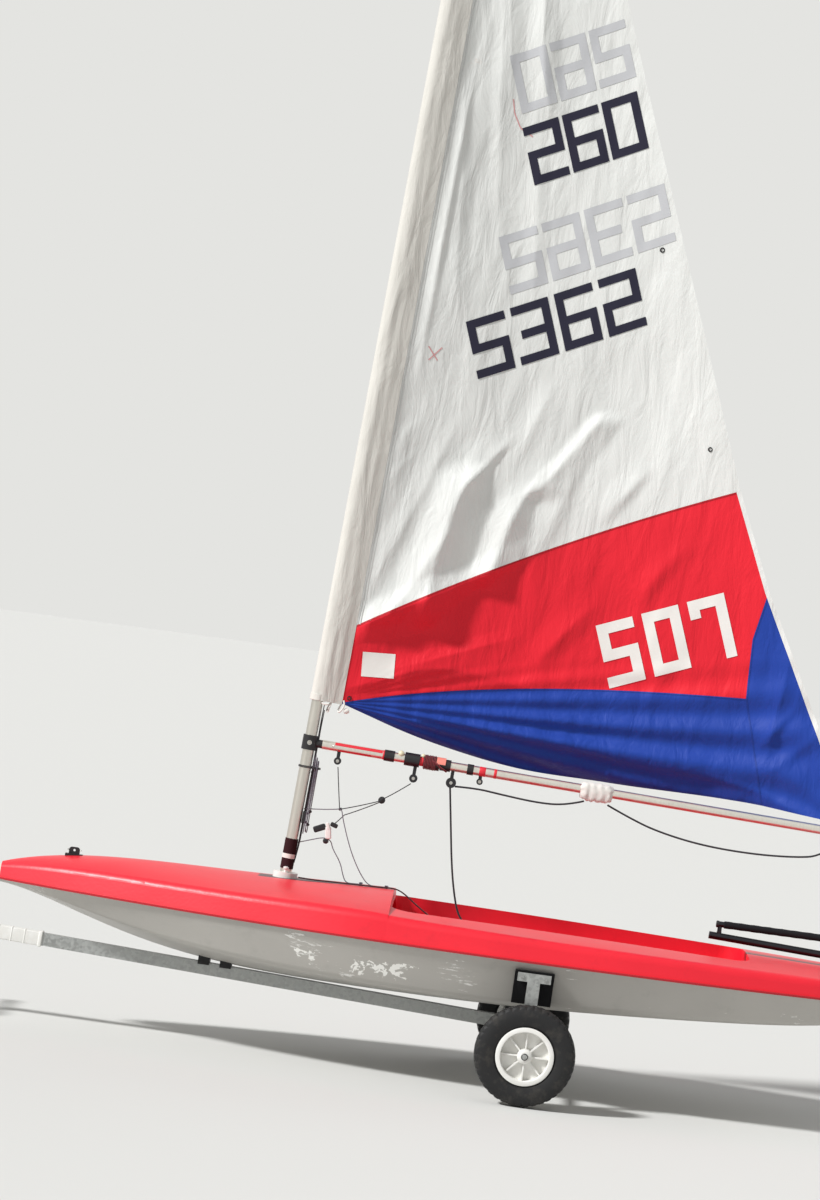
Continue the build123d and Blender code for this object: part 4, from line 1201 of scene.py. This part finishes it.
class DINGHY_OT_numbers(bpy.types.Operator):
    """Lays plain digits on both faces of the sail, with a grey painted shadow of each row where it shows through on
    the other face
    """
    bl_idname = "dinghy.numbers"
    bl_label = "Sail numbers"

    def execute(self, context):
        along, upward = (0.88, 0.475), (-0.385, 0.923)
        high, low = (0.492, 2.985), (0.410, 2.165)
        high_back, low_back = (0.388, 3.262), (0.478, 2.530)
        rows = (("260", high, 0.118, 0.205, 0.168, -1), ("5362", low, 0.128, 0.200, 0.188, -1),
                ("260", high_back, 0.118, 0.205, 0.168, 1), ("5362", low_back, 0.128, 0.200, 0.182, 1))
        dark, painted_show_through = bmesh.new(), bmesh.new()
        for text, origin, width, height, pitch, side in rows:
            digits(dark, text, origin, along, upward, width, height, pitch, 0.034, side * 0.0022, reverse=side > 0)
            # Painted shadow of the digits showing through the cloth, laid as a grey sheet on the other face
            digits(painted_show_through, text, origin, along, upward, width, height, pitch, 0.034, side * -0.0013, reverse=side > 0)
        set_out("sail_numbers_dark", dark, finish("polyester_film_navy", printed_film, "#15132B"), "rig")
        shadow = finish("polyester_film_shadow", printed_film, "#BDBEC1")
        set_out("sail_numbers_painted_show_through", painted_show_through, shadow, "rig")

        pale = bmesh.new()
        for side in (-1, 1):
            digits(pale, "507", (1.174, 1.026), (0.905, 0.425), (-0.392, 0.920), 0.112, 0.222, 0.192, 0.044,
                   side * 0.0022, reverse=side > 0)
        set_out("sail_numbers_white", pale, finish("polyester_film_white", printed_film, "#E7E5E0"), "rig")
        return {"FINISHED"}


class DINGHY_OT_rigging(bpy.types.Operator):
    """Rigs the kicker, the mainsheet's fall and the lines along the mast"""
    bl_idname = "dinghy.rigging"
    bl_label = "Running rigging"

    def execute(self, context):
        sizes = context.scene.dinghy_rigging
        thick, thin = sizes.sheet, sizes.line

        fall = bmesh.new()
        top, foot = boom(0.594, 0, -0.087), boat(1.968, 0, 0.002)
        route = on_boat((1.792, 0, 0.46), (1.815, 0, 0.31), (1.838, 0, 0.20), (1.868, 0.001, 0.10),
                        (1.925, 0.002, 0.046))
        sweep(fall, smooth_route([top, *route, foot]), thick / 2)
        piece = set_out("mainsheet_fall", fall, black_rope())
        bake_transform(piece)

        taut = bmesh.new()
        runs = (
            ((0.131, 0, 0.482), (0.168, 0.004, 0.318)),
            ((0.435, 0, 0.470), (0.331, 0.002, 0.384)), ((0.331, 0.002, 0.380), (0.172, 0.000, 0.315)),
            ((0.331, 0.006, 0.376), (0.192, 0.006, 0.294)),
            ((0.192, 0.006, 0.294), (0.148, 0.002, 0.240)),
        )
        for start, end in (on_rig(*run) for run in runs):
            sag = (start + end) / 2 - Vector((0, 0, 0.004))
            sweep(taut, smooth_route([start, sag, end]), thin / 2, 8)
        for aside, out, low, high in ((-0.008, 0.030, 0.066, 0.72), (0.0, 0.034, 0.070, 0.70),
                                      (0.009, 0.030, 0.074, 0.66)):
            route = [rig(out + 0.002 * math.sin(3.1 * step), aside + 0.002 * math.cos(2.3 * step),
                         low + (high - low) * step / 9) for step in range(10)]
            route[0] = rig(0.0265, aside, low)
            sweep(taut, smooth_route(route), thin / 2, 8)
        turned(taut, mirrored((0.0062, 0), (0.005, 0.006), (0, 0.008)),
               facing(rig(0.172, 0, 0.315), (1, 0, 0.5)), 14)
        set_out("kicker_and_mast_lines", taut, black_rope(), "rig")

        strap = bmesh.new()
        for lift in (0.0, 0.005):
            ring = [rig(0.0275 * math.cos(turn) if math.cos(turn) < 0 else 0.062 * math.cos(turn),
                        (0.0278 if math.cos(turn) < 0 else 0.0268) * math.sin(turn), 0.458 + lift)
                    for turn in (math.radians(10 * step) for step in range(37))]
            sweep(strap, ring, 0.0019, 8)
        set_out("hank_tie", strap, black_rope(), "rig")

        blocks = bmesh.new()
        turned(blocks, mirrored((0.012, 0.001), (0.0144, 0.006), (0.0108, 0.008), (0, 0.008)),
               facing(rig(0.331, 0.002, 0.382), (0, 1, 0)), 28)
        for near, far, *size in (
                ((0.322, 0, 0.372), (0.340, 0, 0.394), 0.020, 0.009, 0.002),
                ((0.080, 0, 0.212), (0.126, 0, 0.236), 0.022, 0.026, 0.008),
                ((0.144, 0, 0.250), (0.174, 0, 0.242), 0.020, 0.018, 0.006)):
            bar_box(blocks, rig(*near), rig(*far), *size)
        turned(blocks, mirrored((0.012, 0), (0.008, 0.008), (0, 0.010)),
               facing(rig(0.137, 0, 0.177), (0, 1, 0)), 20)
        bar_box(blocks, rig(0.137, 0, 0.180), rig(0.143, 0, 0.206), 0.008, 0.007, 0.002)
        set_out("kicker_blocks", blocks, black_nylon(), "rig")
        jaws = bmesh.new()
        bar_box(jaws, rig(0.130, 0, 0.252), rig(0.141, 0, 0.224), 0.026, 0.014, 0.005)
        bar_box(jaws, rig(0.136, 0, 0.236), rig(0.146, 0, 0.186), 0.024, 0.025, 0.008)
        set_out("kicker_cam_cleat", jaws, white_nylon(), "rig")

        ties = bmesh.new()
        for out, up, lean in ((0.105, 0.722, 0.5), (0.060, 0.716, -0.3)):
            route = on_rig((out, -0.006, up + 0.03), (out + 0.02 * lean, -0.014, up + 0.01),
                           (out - 0.01, -0.010, up - 0.024), (out - 0.02, 0.008, up - 0.012), (out, 0.006, up + 0.03))
            sweep(ties, smooth_route(route), 0.0035, 8)
        sweep(ties, smooth_route(on_rig((0.020, -0.030, 0.728), (0.034, -0.036, 0.722), (0.048, -0.034, 0.728))),
              0.004, 8)
        bead = facing(rig(0.123, -0.004, 0.712), (1, 0, 0.3))
        turned(ties, mirrored((0.012, 0), (0.009, 0.010), (0, 0.012)), bead, 18)
        set_out("tack_ties", ties, white_webbing(), "rig")
        return {"FINISHED"}


class DINGHY_OT_wrap(bpy.types.Operator):
    """Straps the white webbing wrap round the boom"""
    bl_idname = "dinghy.wrap"
    bl_label = "Boom wrap"

    def execute(self, context):
        wrap = bmesh.new()
        rings, around = 20, 44
        start, length = 1.118, 0.132
        grid = []
        for row in range(rings + 1):
            share = row / rings
            full = 1 - 0.34 * abs(2 * share - 1) ** 6
            ring = []
            for side, lift in circle(around):
                squared = (abs(side) ** 3 + abs(lift) ** 3) ** (1 / 3)
                tall = 0.044 if lift < 0 else 0.032
                spot = Vector((share * 4, side, lift)) * 1.6
                loose = 0.0035 * noise.noise(spot * 1.7) + 0.0015 * math.sin(26 * share + 3 * side)
                rag = 0.006 * noise.noise(Vector((share * 9, side * 0.6, 0.3))) * max(0, -lift)
                ring.append(wrap.verts.new(boom(start + length * share + 0.004 * noise.noise(spot),
                                                (0.0305 * full + loose) * side / squared,
                                                (tall * full + loose + rag) * lift / squared)))
            grid.append(ring)
        span_rings(wrap, grid, closed=True)
        inside = BOOM_RADIUS + 0.0005
        for ring, along in ((grid[0], 1.1205), (grid[-1], 1.2475)):
            inner = [wrap.verts.new(boom(along, inside * side, inside * lift)) for side, lift in circle(around)]
            span_rings(wrap, (ring, inner), closed=True)
        piece = set_out("boom_wrap_cloth", wrap, white_webbing(),
                        "rig", crease=50)
        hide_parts("boom_wrap")
        return {"FINISHED"}


class DINGHY_OT_steering(bpy.types.Operator):
    """Finishes the rudder, tiller and extension and adds their grips and bolts"""
    bl_idname = "dinghy.steering"
    bl_label = "Rudder and tiller"

    def execute(self, context):
        dress(stainless(), "transom_gudgeons")
        dress(black_nylon(), "rudder_stock")
        dress(white_nylon(), "rudder_blade")
        dress(finish("aluminium_anodised_black", anodised_aluminium, "#3A3A3E"), "tiller", "tiller_extension")

        foam = finish("foam_grip_black", closed_cell_foam, "#18181B")
        low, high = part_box("tiller_extension")
        level = high.z - 0.012
        grip = bmesh.new()
        ripple = [(0.0148 + 0.0006 * math.sin(step * 1.9), 0.004 + 0.668 * step / 40) for step in range(41)]
        turned(grip, [(0.0122, 0), (0.0145, 0.004), *ripple, (0.0122, 0.676)],
               facing(Vector((low.x + 0.030, 0, level)), (1, 0, 0)), 28)
        set_out("extension_grip", grip, foam, "extension")

        caps = bmesh.new()
        for spot, way in ((Vector((high.x, 0, level)), (1, 0, 0)), (Vector((low.x, 0, level)), (-1, 0, 0))):
            turned(caps, [(0.0125, -0.012), (0.0140, -0.010), (0.0140, -0.002), (0.011, 0.0), (0, 0.0)],
                   facing(spot, way), 24)
        set_out("extension_caps", caps, black_nylon(), "extension")

        bolts = bmesh.new()
        low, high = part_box("rudder_stock")
        for along, up in ((0.060, 0.245), (0.120, 0.245), (0.085, 0.145)):
            for side in (low.y + 0.004, high.y - 0.004):
                hex_bolt(bolts, Vector((low.x + along, side, low.z + up)), (0, side, 0), 0.009)
        set_out("rudder_bolts", bolts, stainless(), "rudder")

        rivets = bmesh.new()
        for lift in (0.044, -0.076):
            for up in (-0.014, 0.022):
                pan_head(rivets, boat(LENGTH + 0.004, 0.0105 if up > 0 else -0.0105, lift + up), (1, 0, 0), 0.0035)
        set_out("gudgeon_rivets", rivets, stainless(), "boat")
        return {"FINISHED"}


class DINGHY_OT_trolley(bpy.types.Operator):
    """Finishes the trolley's frame and makes its pads, grips and bolts"""
    bl_idname = "dinghy.trolley"
    bl_label = "Trolley"

    def execute(self, context):
        steel = finish("steel_galvanised", galvanised_steel, context.scene.dinghy_trolley.steel)
        dress(steel, "drawbar", "axle", "cradle_post_port", "cradle_post_starboard", "handle_bar", "stand_leg")
        dress(finish("rubber_moulded_block", moulded_rubber), "keel_rests", "keel_chock")
        foam = finish("foam_pad_black", closed_cell_foam, "#151517")

        for name in MIRROR:
            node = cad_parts["side_pad_" + name]
            pad = bmesh.new()
            pad.from_mesh(node.data)
            bmesh.ops.remove_doubles(pad, verts=pad.verts[:], dist=1e-4)
            bmesh.ops.dissolve_limit(pad, angle_limit=math.radians(2), verts=pad.verts[:], edges=pad.edges[:])
            sharp = [edge for edge in pad.edges if edge.calc_face_angle(0) > math.radians(40)]
            bmesh.ops.bevel(pad, geom=sharp, offset=0.004, segments=3, affect="EDGES", clamp_overlap=True)
            piece = set_out("side_pad_foam_" + name, pad, foam, "boat", crease=50)
            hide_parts("side_pad_" + name)

        bolts = bmesh.new()
        low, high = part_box("cradle_post_port")
        for side in (-1, 1):
            outer = side * max(abs(low.y), abs(high.y))
            for out in (-0.045, 0.045):
                hex_bolt(bolts, Vector((AXLE.x + out, outer, high.z - 0.017)), (0, side, 0), 0.013)
            for up in (0.030, 0.075):
                hex_bolt(bolts, Vector((AXLE.x, outer, AXLE.z + up)), (0, side, 0), 0.015)
        low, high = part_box("stand_leg")
        for side in (-1, 1):
            hex_bolt(bolts, Vector(((low.x + high.x) / 2, side * 0.025, high.z + 0.020)), (0, side, 0), 0.013)
            hex_bolt(bolts, Vector((AXLE.x, side * 0.025, AXLE.z + 0.045)), (0, side, 0), 0.013)
        set_out("trolley_bolts", bolts, steel, "boat")

        sleeve = bmesh.new()
        start, end = bar_middle(-0.160), bar_middle(0.200)
        bar_box(sleeve, start, end, 0.057, 0.057, 0.007)
        for near, far in ((-0.164, -0.148), (0.188, 0.204)):
            bar_box(sleeve, bar_middle(near), bar_middle(far), 0.064, 0.064, 0.006)
        for step in range(5):
            station = -0.088 + 0.054 * step
            bar_box(sleeve, bar_middle(station), bar_middle(station + 0.006), 0.0595, 0.0595, 0.0028)
        set_out("drawbar_sleeve", sleeve, white_nylon(), "boat")

        grips = bmesh.new()
        low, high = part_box("handle_bar")
        for side in (-1, 1):
            place = facing(Vector(((low.x + high.x) / 2, side * 0.298, (low.z + high.z) / 2)), (0, -side, 0))
            profile = [(0, -0.004), (0.012, -0.004), (0.018, 0)]
            for step in range(25):
                profile.append((0.0185 + (0.0016 if step % 2 else 0), 0.004 + 0.0048 * step))
            profile += [(0.0185, 0.124), (0.0162, 0.126)]
            turned(grips, profile, place, 30)
        set_out("handle_grips", grips, black_nylon(), "boat")
        return {"FINISHED"}


class DINGHY_OT_wheels(bpy.types.Operator):
    """Moulds the tyres with their tread and finishes the rims"""
    bl_idname = "dinghy.wheels"
    bl_label = "Wheels"

    def execute(self, context):
        rubber = finish("rubber_moulded_tyre", moulded_rubber)
        white = white_nylon()
        blocks = context.scene.dinghy_trolley.treads
        for name, side in MIRROR.items():
            place = facing(Vector((AXLE.x, side * WHEEL_SIDE, AXLE.z)), (0, side, 0))
            tyre = bmesh.new()
            section = []
            for wide, tall in circle(28):
                squared = max(abs(wide), abs(tall)) ** 0.55
                section.append((wide / squared * TYRE_WIDE, TYRE_MIDDLE + tall / squared * TYRE_TALL))
            rings = []
            for step, (ahead, above) in enumerate(circle(blocks * 4)):
                ring = []
                for wide, radius in section:
                    # Blocks stagger from side to side of a groove round the tread's middle
                    if radius > TREAD_RADIUS and abs(wide) < 0.0056:
                        radius -= 0.004
                    elif radius > TREAD_RADIUS and (step + (2 if wide > 0 else 0)) % 4 == 0:
                        radius -= 0.0045
                    ring.append(tyre.verts.new(place @ Vector((radius * ahead, radius * above, wide))))
                rings.append(ring)
            span_rings(tyre, rings + rings[:1], closed=True)
            piece = set_out("tyre_tread_" + name, tyre, rubber, name + "_wheel", crease=28)
            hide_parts("tyre_" + name)
            dress(white, "wheel_rim_" + name)

            trim = bmesh.new()
            for way in (-1, 1):
                outward = facing(Vector((AXLE.x, side * WHEEL_SIDE + way * 0.034, AXLE.z)), (0, way, 0))
                turned(trim, [(0.012, 0), (0.026, 0), (0.029, 0.002), (0.026, 0.006), (0.014, 0.010),
                              (0.0115, 0.010)], outward, 32)
                lip = facing(Vector((AXLE.x, side * WHEEL_SIDE + way * 0.040, AXLE.z)), (0, way, 0))
                turned(trim, [(0.094, 0), (0.097, 0.004), (0.110, 0.005), (0.114, 0.003), (0.112, -0.003)], lip, 64)
            set_out("rim_trim_" + name, trim, white, name + "_wheel")

            cap = bmesh.new()
            end = facing(Vector((AXLE.x, side * (WHEEL_SIDE + 0.049), AXLE.z)), (0, side, 0))
            turned(cap, [(0.0101, -0.004), (0.0135, -0.003), (0.0135, 0.001), (0.010, 0.0038), (0, 0.004)], end, 24)
            set_out("axle_cap_" + name, cap, black_nylon(), "boat")
        return {"FINISHED"}


class DINGHY_OT_stage(bpy.types.Operator):
    """Lays the pale floor and sets the light from the bow and above"""
    bl_idname = "dinghy.stage"
    bl_label = "Stage"

    def execute(self, context):
        sizes = context.scene.dinghy_stage
        floor = bmesh.new()
        bmesh.ops.create_circle(floor, cap_ends=True, segments=128, radius=90)
        paint = Finish("floor_paint_matt", {"Base Color": opaque(sizes.floor), "Roughness": 0.9,
                                            "Specular IOR Level": 0.1})
        ground = set_out("floor", floor, paint.made)

        world = bpy.data.worlds.new("studio")
        world.use_nodes = True
        context.scene.world = world
        tree = world.node_tree
        tree.nodes.clear()
        ray = add(tree, "LightPath")
        plain = add(tree, "Background", {"Color": opaque("#FFFFFF"), "Strength": sizes.sky})
        seen = add(tree, "Background", {"Color": opaque("#E4E4E1"), "Strength": 1.0})
        share = add(tree, "Math", {0: ray.outputs["Is Camera Ray"], 1: ray.outputs["Is Glossy Ray"]},
                    operation="MAXIMUM")
        shown = add(tree, "Math", {0: share.outputs[0], 1: ray.outputs["Is Transmission Ray"]},
                    operation="MAXIMUM")
        mixed = add(tree, "MixShader", {0: shown.outputs[0], 1: plain.outputs[0], 2: seen.outputs[0]})
        add(tree, "OutputWorld", {"Surface": mixed.outputs[0]})

        for name, aim, strength, angle in (("key", (0.66, 0.42, -0.62), sizes.sun, 7),
                                           ("rim", (-0.7, -0.8, -0.5), 0.5, 40)):
            data = bpy.data.lights.new(name, "SUN")
            data.energy, data.angle = strength, math.radians(angle)
            lamp = bpy.data.objects.new(name, data)
            lamp.rotation_mode = "QUATERNION"
            lamp.rotation_quaternion = Vector(aim).to_track_quat("-Z", "Y")
            context.scene.collection.objects.link(lamp)
        context.scene.view_settings.view_transform = "Standard"
        return {"FINISHED"}


class DINGHY_PT_panel(bpy.types.Panel):
    """Lists the steps that dress the dinghy"""
    bl_idname = "DINGHY_PT_panel"
    bl_label = "Dinghy"
    bl_space_type = "VIEW_3D"
    bl_region_type = "UI"
    bl_category = "Dinghy"

    def draw(self, context):
        for step in STEPS:
            self.layout.operator(step.bl_idname)
        for name, group in GROUPS.items():
            for key in group.__annotations__:
                self.layout.prop(getattr(context.scene, name), key)


STEPS = (DINGHY_OT_camera, DINGHY_OT_cords, DINGHY_OT_mouldings, DINGHY_OT_spars, DINGHY_OT_sleeve, DINGHY_OT_sail,
         DINGHY_OT_sail_trim, DINGHY_OT_numbers, DINGHY_OT_rigging, DINGHY_OT_wrap, DINGHY_OT_steering,
         DINGHY_OT_trolley, DINGHY_OT_wheels, DINGHY_OT_stage)
GROUPS = {"dinghy_mouldings": DINGHY_PG_mouldings, "dinghy_sail": DINGHY_PG_sail, "dinghy_rigging": DINGHY_PG_rigging,
          "dinghy_trolley": DINGHY_PG_trolley, "dinghy_stage": DINGHY_PG_stage}


def register():
    for kind in (*GROUPS.values(), *STEPS, DINGHY_PT_panel):
        bpy.utils.register_class(kind)
    for name, group in GROUPS.items():
        setattr(bpy.types.Scene, name, PointerProperty(type=group))


def unregister():
    for name in GROUPS:
        delattr(bpy.types.Scene, name)
    for kind in reversed((*GROUPS.values(), *STEPS, DINGHY_PT_panel)):
        bpy.utils.unregister_class(kind)


def main():
    register()
    for step in STEPS:
        family, name = step.bl_idname.split(".")
        getattr(getattr(bpy.ops, family), name)()


if __name__ == "__main__":
    main()
